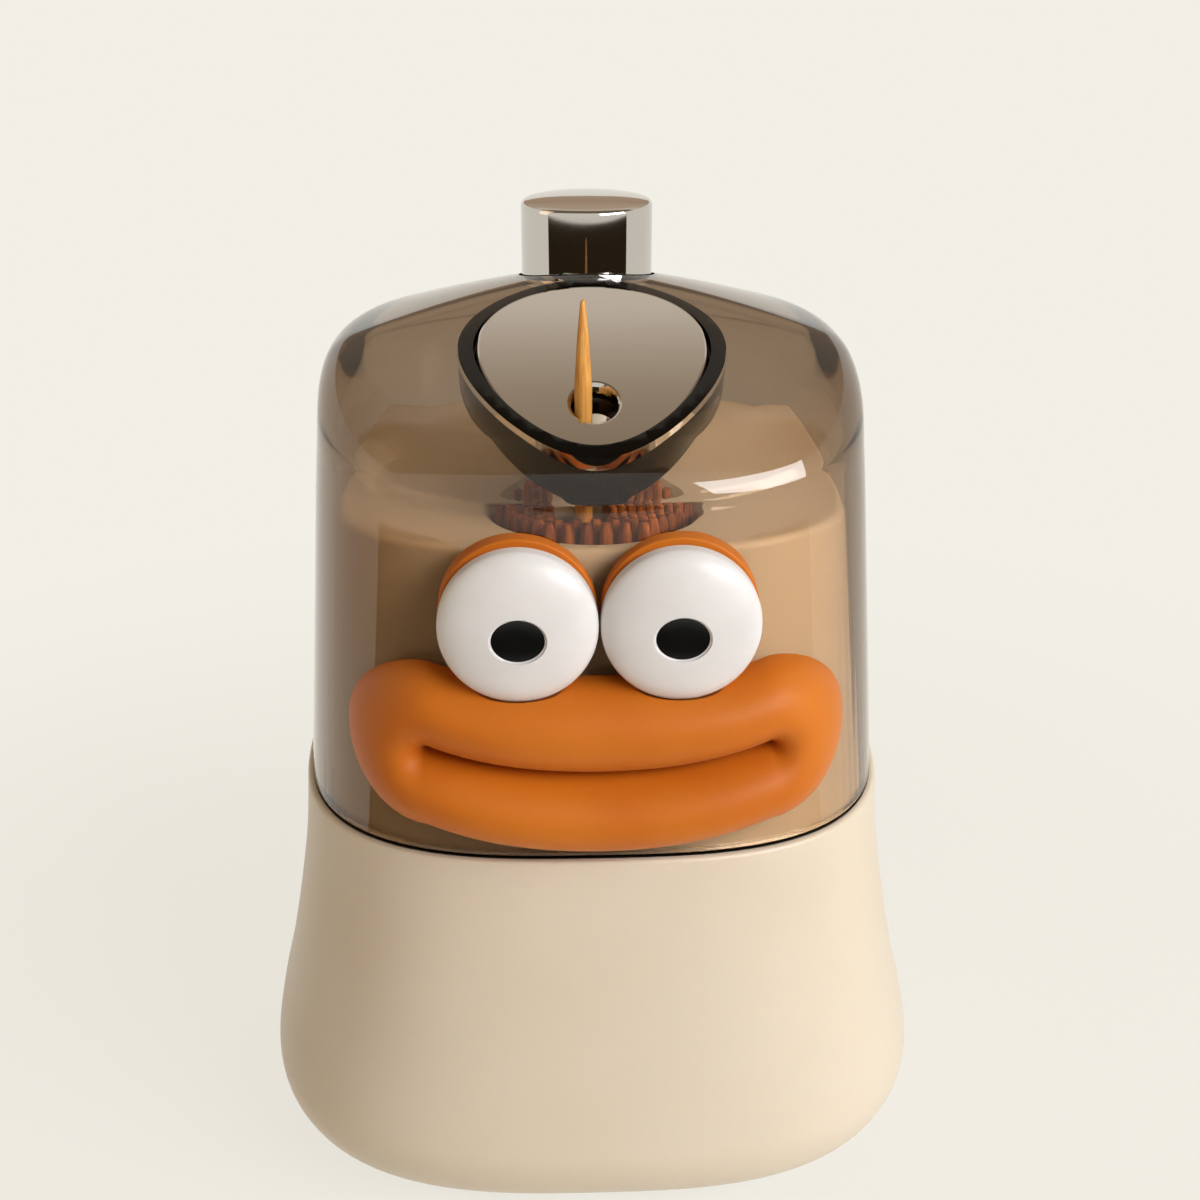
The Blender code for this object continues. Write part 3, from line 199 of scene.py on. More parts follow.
# Eyes, with depths measured forward from the object's axis and sections as (radius, forward)
EYE_BACK = COVER_FOOT_HALF - 0.1 * MM
EYE_RIM = 37.4 * MM
EYE_DOME = 2.6 * MM
EYE_BACK_CHAMFER = 0.3 * MM
EYE_DOME_POWER = 0.8
EYE_STEPS = 24
PUPIL_DROP = 0.7 * MM
PUPIL_HEIGHT_SHARE = 0.83
PUPIL_SIDES = 64
PUPIL_DISH_MM = ((0, 39.35), (2.6, 39.4), (3.1, 39.7), (3.5, 41.0), (0, 41.0))
PUPIL_SIDE_MM = (
    (0, 38.8), (2.5, 38.8), (2.75, 39.3), (2.9, 39.62), (2.5, 39.72), (1.4, 39.8), (0, 39.82),
)
LID_BACK = 28.0 * MM
LID_FRONT = EYE_BACK - GAP
LID_ROUND = 0.5 * MM
LID_STRAIGHT_END = LID_FRONT - 0.6 * MM
LID_RISE = 0.6 * MM

# Lips
SMILE_Z = 61.2 * MM
SMILE_RISE = 2.6 * MM
LIP_STATIONS = 128
LIP_SIDES = 40
# The two lips almost meet along the smile: each one's inside reaches this share of its radius
LIP_CLOSE_SHARE = 0.98
UPPER_LIP_FULLNESS = 0.16
UPPER_LIP_FULL_WIDTH = 11.0 * MM

# Toothpicks, with tapers as (share of the radius, distance from the tip)
STORED_FOOT_Z = WELL_FLOOR_Z + GAP
RAISED_FOOT_Z = 46.3 * MM
STORED_SIDES = 10
RAISED_SIDES = 24
WELL_CLEARANCE = 0.1 * MM
LANE_CLEAR_SIDE = LANE_HALF_WIDTH + LANE_WALL + PARTING
LANE_CLEAR_FRONT_Y = LANE_FRONT_Y - PARTING
# Rows of touching circles lie this share of a pitch apart
ROW_SHARE = math.sqrt(0.75)
BLUNT_TAPER = ((0.0, 0.0), (0.5, 0.2 * MM), (0.82, 1.6 * MM), (1.0, 5.0 * MM))
SHARP_TAPER = ((0.0, 0.0), (0.3, 0.4 * MM), (0.68, 4.5 * MM), (1.0, 10.0 * MM))

# Return spring
SPRING_WIRE_RADIUS = 0.35 * MM
SPRING_COIL_RADIUS = 3.6 * MM
SPRING_LOW_Z = 88.2 * MM
SPRING_HIGH_Z = 104.34 * MM
SPRING_TURNS = 7
SPRING_DEAD_TURNS = 1.25
SPRING_CLOSED_PITCH = 1.3 * MM
SPRING_TURN_STEPS = 24
SPRING_WIRE_SIDES = 8

# The finish of each material slot on the CAD pieces
SLOT_FINISHES = {
    "cream_abs": "cream", "smoky_san": "smoky", "chrome": "chrome", "steel": "steel",
    "white_acetal": "acetal", "dark_rubber": "rubber", "orange_rubber": "orange",
    "white_gloss": "white", "black_gloss": "black", "bamboo": "bamboo",
}

# Soft boxes as (name, place, height aimed at, size, share of the key's power, colour, reflected)
SOFT_BOXES = (
    ("soft_box_right", (0.36, -0.34, 0.32), 0.06, (0.44, 0.18), 1.0, "#F8FAFF", True),
    ("soft_box_left", (-0.42, -0.06, 0.26), 0.07, (0.16, 0.40), 0.05, "#FFD9B0", True),
    ("soft_box_top", (0.06, 0.06, 0.52), 0.08, (0.26, 0.26), 0.07, "#FFFFFF", False),
    ("soft_box_back", (0.06, 0.46, 0.07), 0.05, (0.34, 0.12), 0.26, "#FFFFFF", False),
)

# Floor and cards. The floor takes the object's shadow nearer than SHADOW_FAR
FLOOR_HALF_WIDTH = 6.0
SHADOW_NEAR = 0.06
SHADOW_FAR = 0.22
CEILING_HALF_WIDTH = 0.9
CEILING_FRONT_Y = -0.45
CEILING_BACK_Y = 2.4
CEILING_Z = 0.62
# The ceiling's colours as (y, colour), darker over the object and bright behind it: a painted reflection for
# the chrome
CEILING_WASH = (
    (-0.1, "#7A6E5D"), (0.07, "#857764"), (0.1, "#9C8B74"), (0.13, "#B3A28D"), (0.15, "#D0C1AF"),
    (0.166, "#EADFD1"), (0.5, "#CFBCA7"), (1.4, "#B39B84"),
)
# A dark sweep low ahead of the object, a painted reflection that only glossy rays see
DARK_CARD_NEAR_RADIUS = 0.11
DARK_CARD_FAR_RADIUS = 0.9
DARK_CARD_Z = 0.001
DARK_CARD_HALF_SWEEP_DEGREES = 72
DARK_CARD_STEP_DEGREES = 6
DARK_CARD_COLOUR = "#2E2518"

# Camera, 16 cm up and about 22 cm in front of the object's axis, looking 22 degrees down
CAMERA_YAW = 0.037
CAMERA_PITCH = 0.391
CAMERA_DISTANCE = 215.5 * MM
CAMERA_HEIGHT = 155.8 * MM
CAMERA_SIDE = 1.4 * MM
CAMERA_LENS_MM = 53.8
CAMERA_SENSOR_MM = 36


def linear(code):
    """An sRGB hex colour as linear RGBA."""
    parts = [int(code[i:i + 2], 16) / 255 for i in (1, 3, 5)]
    return (*(v / 12.92 if v <= 0.04045 else ((v + 0.055) / 1.055) ** 2.4 for v in parts), 1.0)


def add_node(tree, kind, sockets=None, **settings):
    """Adds a node with its settings. A socket takes a value, or (node, output name) to link from."""
    made = tree.nodes.new(kind)
    for key, value in settings.items():
        setattr(made, key, value)
    for key, value in (sockets or {}).items():
        if isinstance(value, tuple) and isinstance(value[0], bpy.types.Node):
            tree.links.new(value[0].outputs[value[1]], made.inputs[key])
        else:
            made.inputs[key].default_value = value
    return made


def new_material(name):
    made = bpy.data.materials.new(name)
    made.use_nodes = True
    made.node_tree.nodes.clear()
    return made, made.node_tree


def finish_surface(tree, shader, output="BSDF"):
    return add_node(tree, "ShaderNodeOutputMaterial", {"Surface": (shader, output)})


def grain(tree, size_mm, stretch=(1, 1, 1), detail=2.0):
    """Noise on the piece's own coordinates whose features are about size_mm across."""
    place = add_node(tree, "ShaderNodeTexCoord")
    turned = add_node(tree, "ShaderNodeMapping", {"Vector": (place, "Object"), "Scale": stretch})
    return add_node(tree, "ShaderNodeTexNoise", {
        "Vector": (turned, "Vector"), "Scale": 1 / (size_mm * MM), "Detail": detail,
    })


def two_tone(tree, source, low, high, start=0.35, stop=0.65):
    """Runs from one colour to another as the source goes from start to stop."""
    ramp = add_node(tree, "ShaderNodeValToRGB", {"Fac": source})
    ramp.color_ramp.elements[0].position = start
    ramp.color_ramp.elements[1].position = stop
    ramp.color_ramp.elements[0].color = linear(low)
    ramp.color_ramp.elements[1].color = linear(high)
    return ramp


def cream_abs():
    """ABS moulded in a finely sparked tool: satin, with a soft broad highlight."""
    made, tree = new_material("cream_moulded_abs")
    cloud = grain(tree, 30)
    colour = two_tone(tree, (cloud, "Fac"), "#DFD1BA", "#E2D5C0")
    # the spark grain is about 0.1 mm, drawn at 0.35 mm so that it shows
    spark = grain(tree, 0.35)
    bump = add_node(tree, "ShaderNodeBump", {
        "Height": (spark, "Fac"), "Strength": 0.05, "Distance": 0.1 * MM,
    })
    shader = add_node(tree, "ShaderNodeBsdfPrincipled", {
        "Base Color": (colour, "Color"), "Normal": (bump, "Normal"), "Roughness": 0.36, "IOR": 1.53,
        "Subsurface Weight": 0.06, "Subsurface Scale": 2.0 * MM,
    })
    finish_surface(tree, shader)
    return made


def smoky_san():
    """Clear SAN tinted smoky grey-brown: polished, and dark wherever the eye looks along a wall."""
    made, tree = new_material("smoky_clear_san")
    shader = add_node(tree, "ShaderNodeBsdfPrincipled", {
        "Base Color": (1, 1, 1, 1), "Roughness": 0.0, "IOR": 1.5, "Transmission Weight": 1.0,
    })
    # lamps pass straight through the wall, so that the pieces inside are lit
    open_way = add_node(tree, "ShaderNodeBsdfTransparent", {"Color": linear("#FFFDFA")})
    ray = add_node(tree, "ShaderNodeLightPath")
    mixed = add_node(tree, "ShaderNodeMixShader", {
        0: (ray, "Is Shadow Ray"), 1: (shader, "BSDF"), 2: (open_way, "BSDF"),
    })
    out = finish_surface(tree, mixed, "Shader")
    tint = add_node(tree, "ShaderNodeVolumeAbsorption", {"Color": linear("#C89E3A"), "Density": 262.0})
    tree.links.new(tint.outputs["Volume"], out.inputs["Volume"])
    return made


def chrome_plate():
    """Bright chrome on polished ABS: a mirror, with faint wiping haze."""
    made, tree = new_material("bright_chrome_plating")
    haze = grain(tree, 9)
    rough = add_node(tree, "ShaderNodeMapRange", {"Value": (haze, "Fac"), "To Min": 0.025, "To Max": 0.07})
    shader = add_node(tree, "ShaderNodeBsdfPrincipled", {
        "Base Color": linear("#C9C5C0"), "Metallic": 1.0, "Roughness": (rough, "Result"),
    })
    finish_surface(tree, shader)
    return made


def orange_vinyl():
    """Soft PVC with a matte skin: broad dull highlights and a very fine grain."""
    made, tree = new_material("matte_orange_vinyl")
    cloud = grain(tree, 14)
    colour = two_tone(tree, (cloud, "Fac"), "#C7690E", "#CE7214")
    # skin grain of about 0.15 mm, drawn at 0.3 mm so that it shows
    skin = grain(tree, 0.3, detail=3.0)
    bump = add_node(tree, "ShaderNodeBump", {"Height": (skin, "Fac"), "Strength": 0.12, "Distance": 0.1 * MM})
    shader = add_node(tree, "ShaderNodeBsdfPrincipled", {
        "Base Color": (colour, "Color"), "Normal": (bump, "Normal"), "Roughness": 0.52, "IOR": 1.5,
        "Sheen Weight": 0.03, "Sheen Roughness": 0.5, "Specular IOR Level": 0.3, "Subsurface Weight": 0.08,
        "Subsurface Scale": 1.5 * MM,
    })
    finish_surface(tree, shader)
    return made


def white_enamel():
    """White pad-printed and lacquered PVC: smooth and gently glossy."""
    made, tree = new_material("white_lacquer")
    cloud = grain(tree, 6)
    colour = two_tone(tree, (cloud, "Fac"), "#DFDCDA", "#E5E2E0")
    shader = add_node(tree, "ShaderNodeBsdfPrincipled", {
        "Base Color": (colour, "Color"), "Roughness": 0.34, "IOR": 1.5, "Subsurface Weight": 0.05,
        "Subsurface Scale": 1.0 * MM,
    })
    finish_surface(tree, shader)
    return made


def black_enamel():
    """Black lacquer in a shallow well: smooth, with a soft gleam."""
    made, tree = new_material("black_lacquer")
    haze = grain(tree, 2)
    rough = add_node(tree, "ShaderNodeMapRange", {"Value": (haze, "Fac"), "To Min": 0.3, "To Max": 0.4})
    shader = add_node(tree, "ShaderNodeBsdfPrincipled", {
        "Base Color": linear("#030303"), "Roughness": (rough, "Result"), "IOR": 1.4,
    })
    finish_surface(tree, shader)
    return made


def near_black_shade_enamel():
    """Near black, smooth and shiny: painted shade, used for the pocket round the mirror and the shadow line
    under the cover's foot.
    """
    made, tree = new_material("near_black_painted_shade")
    haze = grain(tree, 4)
    rough = add_node(tree, "ShaderNodeMapRange", {"Value": (haze, "Fac"), "To Min": 0.12, "To Max": 0.18})
    # the near-black colour is painted shade
    shader = add_node(tree, "ShaderNodeBsdfPrincipled", {
        "Base Color": linear("#070402"), "Roughness": (rough, "Result"), "IOR": 1.5,
        "Specular IOR Level": 0.25,
    })
    finish_surface(tree, shader)
    return made


def bamboo(name="turned_bamboo", low="#C67C2A", high="#F0B256", fibre_mm=0.25):
    """Bamboo split and turned to a round stick: straight fibres along it, dry and dull."""
    made, tree = new_material(name)
    # fibres run on for about 50 times their width
    fibre = grain(tree, fibre_mm, stretch=(1, 1, 0.02), detail=3.0)
    colour = two_tone(tree, (fibre, "Fac"), low, high, 0.3, 0.7)
    bump = add_node(tree, "ShaderNodeBump", {
        "Height": (fibre, "Fac"), "Strength": 0.25, "Distance": 0.05 * MM,
    })
    shader = add_node(tree, "ShaderNodeBsdfPrincipled", {
        "Base Color": (colour, "Color"), "Normal": (bump, "Normal"), "Roughness": 0.55, "IOR": 1.5,
    })
    finish_surface(tree, shader)
    return made


def bamboo_in_painted_shade():
    """The same bamboo, darkened as painted shade for the sticks deep in the well, with browns that change
    from stick to stick.
    """
    # the dark low tone is painted shade for the well; the change from stick to stick is random
    return bamboo("bamboo_painted_shade_dark", "#5C1F03", "#C8741C", 1.1)


def plain_finish(name, low, high, size_mm, roughness, metallic=0.0):
    """A working part's finish: two close tones in small clouds."""
    made, tree = new_material(name)
    cloud = grain(tree, size_mm)
    colour = two_tone(tree, (cloud, "Fac"), low, high)
    shader = add_node(tree, "ShaderNodeBsdfPrincipled", {
        "Base Color": (colour, "Color"), "Roughness": roughness, "Metallic": metallic,
    })
    finish_surface(tree, shader)
    return made


def bright_steel():
    """Drawn steel wire and turned pins: bright, with a fine draw mark."""
    return plain_finish("drawn_steel", "#9C9A98", "#B4B2B0", 0.4, 0.28, 1.0)


def white_acetal():
    """Natural acetal, moulded: milky and waxy."""
    return plain_finish("natural_acetal", "#E6E4DC", "#EDEBE4", 3, 0.42)


def black_rubber():
    """EVA rubber sheet: matte and dark."""
    return plain_finish("eva_rubber", "#1E1D1C", "#262524", 0.5, 0.85)


FINISHES = {
    "cream": cream_abs, "smoky": smoky_san, "chrome": chrome_plate, "orange": orange_vinyl,
    "white": white_enamel, "black": black_enamel, "shade_black": near_black_shade_enamel, "bamboo": bamboo,
    "packed": bamboo_in_painted_shade, "steel": bright_steel, "acetal": white_acetal, "rubber": black_rubber,
}
MADE_FINISHES = {}


def finish(name):
    """Each finish is made once."""
    if name not in MADE_FINISHES:
        MADE_FINISHES[name] = FINISHES[name]()
    return MADE_FINISHES[name]


def turned(profile, sides, centre=(0, 0)):
    """Spins a profile of (radius, height) round a vertical axis."""
    bm = bmesh.new()
    points = [bm.verts.new((r, 0, z)) for r, z in profile]
    rows = list(zip(points, points[1:]))
    if min(r for r, z in profile) > 0:
        rows.append((points[-1], points[0]))
    edges = [bm.edges.new(pair) for pair in rows]
    bmesh.ops.spin(bm, geom=points + edges, cent=(0, 0, 0), axis=(0, 0, 1), angle=math.tau, steps=sides,
                   use_merge=True)
    bmesh.ops.remove_doubles(bm, verts=bm.verts, dist=MERGE_DISTANCE)
    bmesh.ops.translate(bm, verts=bm.verts, vec=(*centre, 0))
    return bm


def squared(bm, squareness=lambda z: 1.0):
    """Presses a turned shape into the rounded-square plan, less where squareness is under 1."""
    for vert in bm.verts:
        reach = math.hypot(vert.co.x, vert.co.y)
        if reach > 0:
            across, ahead = abs(vert.co.x / reach), abs(vert.co.y / reach)
            grow = (across ** PLAN_POWER + ahead ** PLAN_POWER) ** (-1 / PLAN_POWER)
            grow = 1 + (grow - 1) * squareness(vert.co.z)
            vert.co.x *= grow
            vert.co.y *= grow
    return bm


def cylinder(radius, low, high, centre=(0, 0), sides=48):
    return turned(((0, low), (radius, low), (radius, high), (0, high)), sides, centre)


def block(low, high):
    bm = bmesh.new()
    bmesh.ops.create_cube(bm, size=1)
    size = Vector(high) - Vector(low)
    middle = (Vector(high) + Vector(low)) / 2
    place = Matrix.Translation(middle) @ Matrix.Diagonal((*size, 1))
    bmesh.ops.transform(bm, matrix=place, verts=bm.verts)
    return bm


def prism(outline, run):
    """Extrudes a flat outline of points."""
    bm = bmesh.new()
    face = bm.faces.new([bm.verts.new(point) for point in outline])
    raised = bmesh.ops.extrude_face_region(bm, geom=[face])["geom"]
    bmesh.ops.translate(bm, verts=[item for item in raised if isinstance(item, bmesh.types.BMVert)], vec=run)
    return bm


def facing(profile, x, z, sides=96):
    """Spins a (radius, forward) profile round an axis along Y."""
    bm = turned(profile, sides)
    turn = Matrix.Translation((x, 0, z)) @ Matrix.Rotation(math.pi / 2, 4, "X")
    bmesh.ops.transform(bm, matrix=turn, verts=bm.verts)
    return bm


def rounded(corners, radius, steps=4):
    """A profile whose inner corners are rounded. The two end points stay."""
    path = [corners[0]]
    for before, corner, after in zip(corners, corners[1:], corners[2:]):
        corner, before, after = Vector(corner), Vector(before), Vector(after)
        back, on = (before - corner), (after - corner)
        reach = min(radius, back.length * ROUND_SHARE, on.length * ROUND_SHARE)
        start = corner + back.normalized() * reach
        stop = corner + on.normalized() * reach
        for step in range(steps + 1):
            t = step / steps
            path.append(tuple(start * (1 - t) ** 2 + corner * 2 * t * (1 - t) + stop * t * t))
    path.append(corners[-1])
    return path


def catmull_rom(a, b, c, d, t):
    """The value at the share t of the way from b to c."""
    square = (2 * a - 5 * b + 4 * c - d) * t * t
    cube = (3 * b - a - 3 * c + d) * t ** 3
    return (2 * b + (c - a) * t + square + cube) / 2


def smooth_through(points, steps):
    """A smooth curve through the points."""
    ends = [points[0], *points, points[-1]]
    curve = []
    for near in zip(ends, ends[1:], ends[2:], ends[3:]):
        for step in range(steps):
            curve.append(tuple(catmull_rom(*values, step / steps) for values in zip(*near)))
    curve.append(points[-1])
    return curve


def mesh_from(bm, name):
    """Turns the faces outwards and hands the shape over as a mesh."""
    bmesh.ops.recalc_face_normals(bm, faces=bm.faces)
    mesh = bpy.data.meshes.new(name)
    bm.to_mesh(mesh)
    bm.free()
    return mesh


def piece(name, bm, look, body, slot, *nodes, sharp=35):
    """A finished piece that rides on a body and stands for the CAD nodes."""
    mesh = mesh_from(bm, name)
    mesh.shade_smooth()
    mesh.set_sharp_from_angle(angle=math.radians(sharp))
    made = bpy.data.objects.new(name, mesh)
    mesh.materials.append(finish(look))
    bpy.context.scene.collection.objects.link(made)
    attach(made, body)
    if nodes:
        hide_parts(*nodes)
    return made


def tool(bm):
    """A shape used once in a Boolean."""
    made = bpy.data.objects.new("cutting_shape", mesh_from(bm, "cutting_shape"))
    bpy.context.scene.collection.objects.link(made)
    return made


def shaped(bm, *steps):
    """Cuts and joins a mesh with others, in order. Each step is (operation, mesh)."""
    base = tool(bm)
    others = []
    for operation, other in steps:
        others.append(tool(other))
        step = base.modifiers.new(operation, "BOOLEAN")
        step.operation = operation
        step.solver = "EXACT"
        step.object = others[-1]
    graph = bpy.context.evaluated_depsgraph_get()
    graph.update()
    result = bmesh.new()
    result.from_mesh(bpy.data.meshes.new_from_object(base.evaluated_get(graph), depsgraph=graph))
    for made in [base, *others]:
        bpy.data.objects.remove(made)
    return result


def soften(bm, width, angle, segments=3):
    """Bevels the edges that turn by more than an angle in degrees."""
    edges = [e for e in bm.edges if e.is_manifold and e.calc_face_angle(0) > math.radians(angle)]
    bmesh.ops.bevel(bm, geom=edges, offset=width, offset_type="OFFSET", affect="EDGES", segments=segments,
                    profile=0.5, material=-1, clamp_overlap=True)
    return bm


def cover_half(z):
    share = (z - COVER_FOOT_Z) / (COVER_SHOULDER_Z - COVER_FOOT_Z)
    return COVER_FOOT_HALF + (COVER_SHOULDER_HALF - COVER_FOOT_HALF) * share


def cover_seat(sides):
    """The cover's outside, grown by the seating gap."""
    foot = COVER_FOOT_Z - OVERRUN
    return squared(turned([
        (0, foot), (cover_half(foot) + GAP, foot), (cover_half(COVER_SHOULDER_Z) + GAP, COVER_SHOULDER_Z),
        (0, COVER_SHOULDER_Z),
    ], sides))


def plan_depth(half, x):
    """How far forward the rounded-square plan reaches at a place across it."""
    return half * (1 - min(1.0, abs(x) / half) ** PLAN_POWER) ** (1 / PLAN_POWER)


def egg_plug(sizes, grow, low, high):
    """The mirror's outline, grown, and extruded between two heights over the mirror's tilted face."""
    out = Vector((0, -math.sin(MIRROR_TILT), math.cos(MIRROR_TILT)))
    up = Vector((0, math.cos(MIRROR_TILT), math.sin(MIRROR_TILT)))
    outline = []
    for step in range(EGG_SIDES):
        turn = math.tau * step / EGG_SIDES
        across = (sizes.mirror_width / 2 + grow) * math.cos(turn) * (1 + EGG_SHARE * math.sin(turn))
        along = (sizes.mirror_length / 2 + grow) * math.sin(turn)
        outline.append(MIRROR_CENTRE + Vector((across, 0, 0)) + up * along + out * low)
    return prism(outline, out * (high - low))


def eye_white_profile(radius, grow=0.0):
    """The flat back of an eye and its domed front, as (radius, forward)."""
    back = EYE_BACK - grow
    reach = radius + grow
    points = [(0, back), (reach - EYE_BACK_CHAMFER, back), (reach, back + EYE_BACK_CHAMFER)]
    for step in range(EYE_STEPS):
        turn = math.pi / 2 * step / EYE_STEPS
        out = EYE_RIM + (EYE_DOME + grow) * math.sin(turn)
        points.append((reach * math.cos(turn) ** EYE_DOME_POWER, out))
    points.append((0.0, EYE_RIM + EYE_DOME + grow))
    return points


def length_property(label, note, size_mm):
    """A length that shows in the scene's units."""
    return FloatProperty(name=label, description=note, default=size_mm * MM, unit="LENGTH")


class BaseSizes(bpy.types.PropertyGroup):
    wall: length_property("Wall", "Thickness of the base's skirt", 2.2)
    rim_round: length_property("Rim round", "Rounding of the top rim", 0.6)
    sides: IntProperty(name="Sides", description="Facets round the base and the cover", default=160, min=32)


class CoverSizes(bpy.types.PropertyGroup):
    wall: length_property("Wall", "Thickness of the smoky cover", 2.0)
    round: length_property("Shoulder", "Rounding between wall and dome", 4.0)
    front: length_property("Front drop", "How far the dome falls towards the face", 6.6)
    pocket_wall: length_property("Pocket wall", "Thickness of the pocket's wall", 1.7)
    mirror_width: length_property("Mirror width", "Width of the plate half way up its slope", 26.0)
    mirror_length: length_property("Mirror length", "Length of the plate up its slope", 26.9)


class FaceSizes(bpy.types.PropertyGroup):
    eye: length_property("Eye radius", "Radius of each eye", 8.78)
    eye_side: length_property("Eye offset", "Eye centre from the middle", 8.87)
    eye_z: length_property("Eye height", "Eye centre above the table", 79.3)
    lip: length_property("Lip radius", "Half thickness of each lip", 4.8)
    lip_proud: length_property("Lip depth", "How far the lips stand out", 6.4)
    slit_half: length_property("Smile half", "Half the smile's width", 19.3)


class PickSizes(bpy.types.PropertyGroup):
    radius: length_property("Radius", "Toothpick radius", 1.0)
    length: length_property("Length", "Toothpick length", 65.0)
    pitch: length_property("Pitch", "Spacing of the stored toothpicks", 2.15)


class StageLook(bpy.types.PropertyGroup):
    paper: FloatVectorProperty(
        name="Backdrop", description="Colour of the backdrop", subtype="COLOR", size=4,
        default=linear("#F2EFE6"), min=0, max=1,
    )
    # painted shade: the backdrop is duller for rays through the cover, so the clear walls look dark
    through_glass: FloatVectorProperty(
        name="Through glass", description="Colour of the backdrop seen through the cover", subtype="COLOR",
        size=4, default=linear("#9C9487"), min=0, max=1,
    )
    fill: FloatProperty(name="Fill", description="Strength of the room's light", default=0.24, min=0)
    glow: FloatProperty(
        name="Paper glow", description="Share of the paper by the object that takes no shadow",
        default=0.85, min=0, max=1,
    )
    key: FloatProperty(
        name="Key", description="Power of the right soft box", default=2.9, min=0, unit="POWER",
    )


class PieceOperator:
    """Shared by every operator that adds pieces."""
    bl_options = {"REGISTER", "UNDO"}

    def execute(self, context):
        self.build(context.scene)
        return {"FINISHED"}


class DISPENSER_OT_base(PieceOperator, bpy.types.Operator):
    """Adds the cream base shell"""
    bl_idname = "dispenser.base"
    bl_label = "Base shell"

    def build(self, scene):
        sizes = scene.dispenser_base
        side = smooth_through([(half * MM, z * MM) for z, half in BASE_SIDE_MM], BASE_CURVE_STEPS)
        outer = [(half, z) for half, z in side if z < RIM_Z - 2 * sizes.rim_round]
        inner = [(half - sizes.wall, z) for half, z in side if z < SKIRT_INSIDE_TOP_Z]
        edge = rounded([
            outer[-1], (RIM_HALF, RIM_Z), (MOUTH_HALF, RIM_Z), (MOUTH_HALF, LEDGE_Z), (LEDGE_HALF, LEDGE_Z),
            (LEDGE_HALF, LEDGE_FOOT_Z), inner[-1],
        ], sizes.rim_round)
        shell = squared(turned(outer[:-1] + edge + inner[-2::-1], sizes.sides))
        piece("base_shell_moulded", shell, "cream", "tower", "cream_abs", "base_shell")


class DISPENSER_OT_tower(PieceOperator, bpy.types.Operator):
    """Adds the cream tower with its deck and pick well"""
    bl_idname = "dispenser.tower"
    bl_label = "Tower"

    def outline(self):
        """From the deck down the outside, round the spigot and back up the inside."""
        def half(z):
            return cover_half(z) - TOWER_INSET

        foot = half(COVER_FOOT_Z)
        ceiling = DECK_Z - TOWER_WALL
        spigot_inside = SPIGOT_HALF - TOWER_WALL
        return rounded([
            (0, DECK_Z), (half(DECK_Z), DECK_Z), (foot, TOWER_FOOT_Z), (SPIGOT_HALF, TOWER_FOOT_Z),
            (SPIGOT_HALF, SPIGOT_FOOT_Z), (spigot_inside, SPIGOT_FOOT_Z), (spigot_inside, TOWER_FOOT_Z),
            (foot - TOWER_WALL, TOWER_THICK_TOP_Z), (half(ceiling) - TOWER_WALL, ceiling), (0, ceiling),
        ], TOWER_ROUND, steps=5)

    def well(self):
        """The hollow for the toothpicks, with a chamfer at its mouth."""
        mouth = WELL_RADIUS + WELL_CHAMFER + WELL_MOUTH_OVERRUN
        top = DECK_Z + WELL_MOUTH_OVERRUN
        return turned(rounded([
            (0, WELL_FLOOR_Z), (WELL_RADIUS, WELL_FLOOR_Z), (WELL_RADIUS, DECK_Z - WELL_CHAMFER),
            (mouth, top), (0, top),
        ], WELL_ROUND), WELL_SIDES, (0, WELL_Y))

    def lane(self):
        """A channel, closed at the front in plan, that holds one toothpick."""
        inside = LANE_HALF_WIDTH
        outside = inside + LANE_WALL
        front = LANE_FRONT_Y + LANE_WALL
        plan = (
            (-outside, LANE_BACK_Y), (-outside, LANE_FRONT_Y), (outside, LANE_FRONT_Y),
            (outside, LANE_BACK_Y), (inside, LANE_BACK_Y), (inside, front), (-inside, front),
            (-inside, LANE_BACK_Y),
        )
        corners = [Vector((PICK_X + x, y, LANE_FOOT_Z)) for x, y in plan]
        return prism(corners, Vector((0, 0, LANE_TOP_Z - LANE_FOOT_Z)))

    def lug(self, foot):
        """Carries one end of the lifter's guide rod behind the well."""
        return block(
            (PICK_X - LUG_HALF_WIDTH, WELL_Y + WELL_RADIUS, foot),
            (PICK_X + LUG_HALF_WIDTH, LUG_BACK_Y, foot + LUG_THICK),
        )

    def finger_slot(self):
        """Lets the lifter's finger travel up behind the lane."""
        return block(
            (PICK_X - LANE_HALF_WIDTH, FINGER_SLOT_FRONT_Y, FINGER_SLOT_FOOT_Z),
            (PICK_X + LANE_HALF_WIDTH, ROD_Y, FINGER_SLOT_TOP_Z),
        )

    def build(self, scene):
        posts = [(x, y) for x in POST_PLACES for y in POST_PLACES]
        well_top = DECK_Z - TOWER_WALL / 2
        well_wall = cylinder(WELL_RADIUS + WELL_WALL, WELL_FOOT_Z, well_top, (0, WELL_Y), WELL_SIDES)
        rod_bore = cylinder(ROD_BORE_RADIUS, ROD_BORE_FOOT_Z, ROD_BORE_TOP_Z, (PICK_X, ROD_Y), sides=24)
        steps = [("UNION", well_wall)]
        for post in posts:
            steps.append(("UNION", cylinder(POST_RADIUS, POST_FOOT_Z, POST_TOP_Z, post, POST_SIDES)))
        for foot in LUG_FEET_Z:
            steps.append(("UNION", self.lug(foot)))
        steps += [
            ("DIFFERENCE", self.well()),
            ("UNION", self.lane()),
            ("DIFFERENCE", self.finger_slot()),
            ("DIFFERENCE", rod_bore),
            ("DIFFERENCE", cylinder(BUSH_BORE_RADIUS, DECK_Z - OVERRUN, DECK_Z + OVERRUN, (0, KNOB_Y))),
        ]
        for post in posts:
            steps.append(("DIFFERENCE", cylinder(POST_BORE_RADIUS, 0, POST_BORE_TOP_Z, post, sides=20)))
        body = shaped(squared(turned(self.outline(), scene.dispenser_base.sides)), *steps)
        piece("tower_moulded", body, "cream", "tower", "cream_abs", "inner_body")


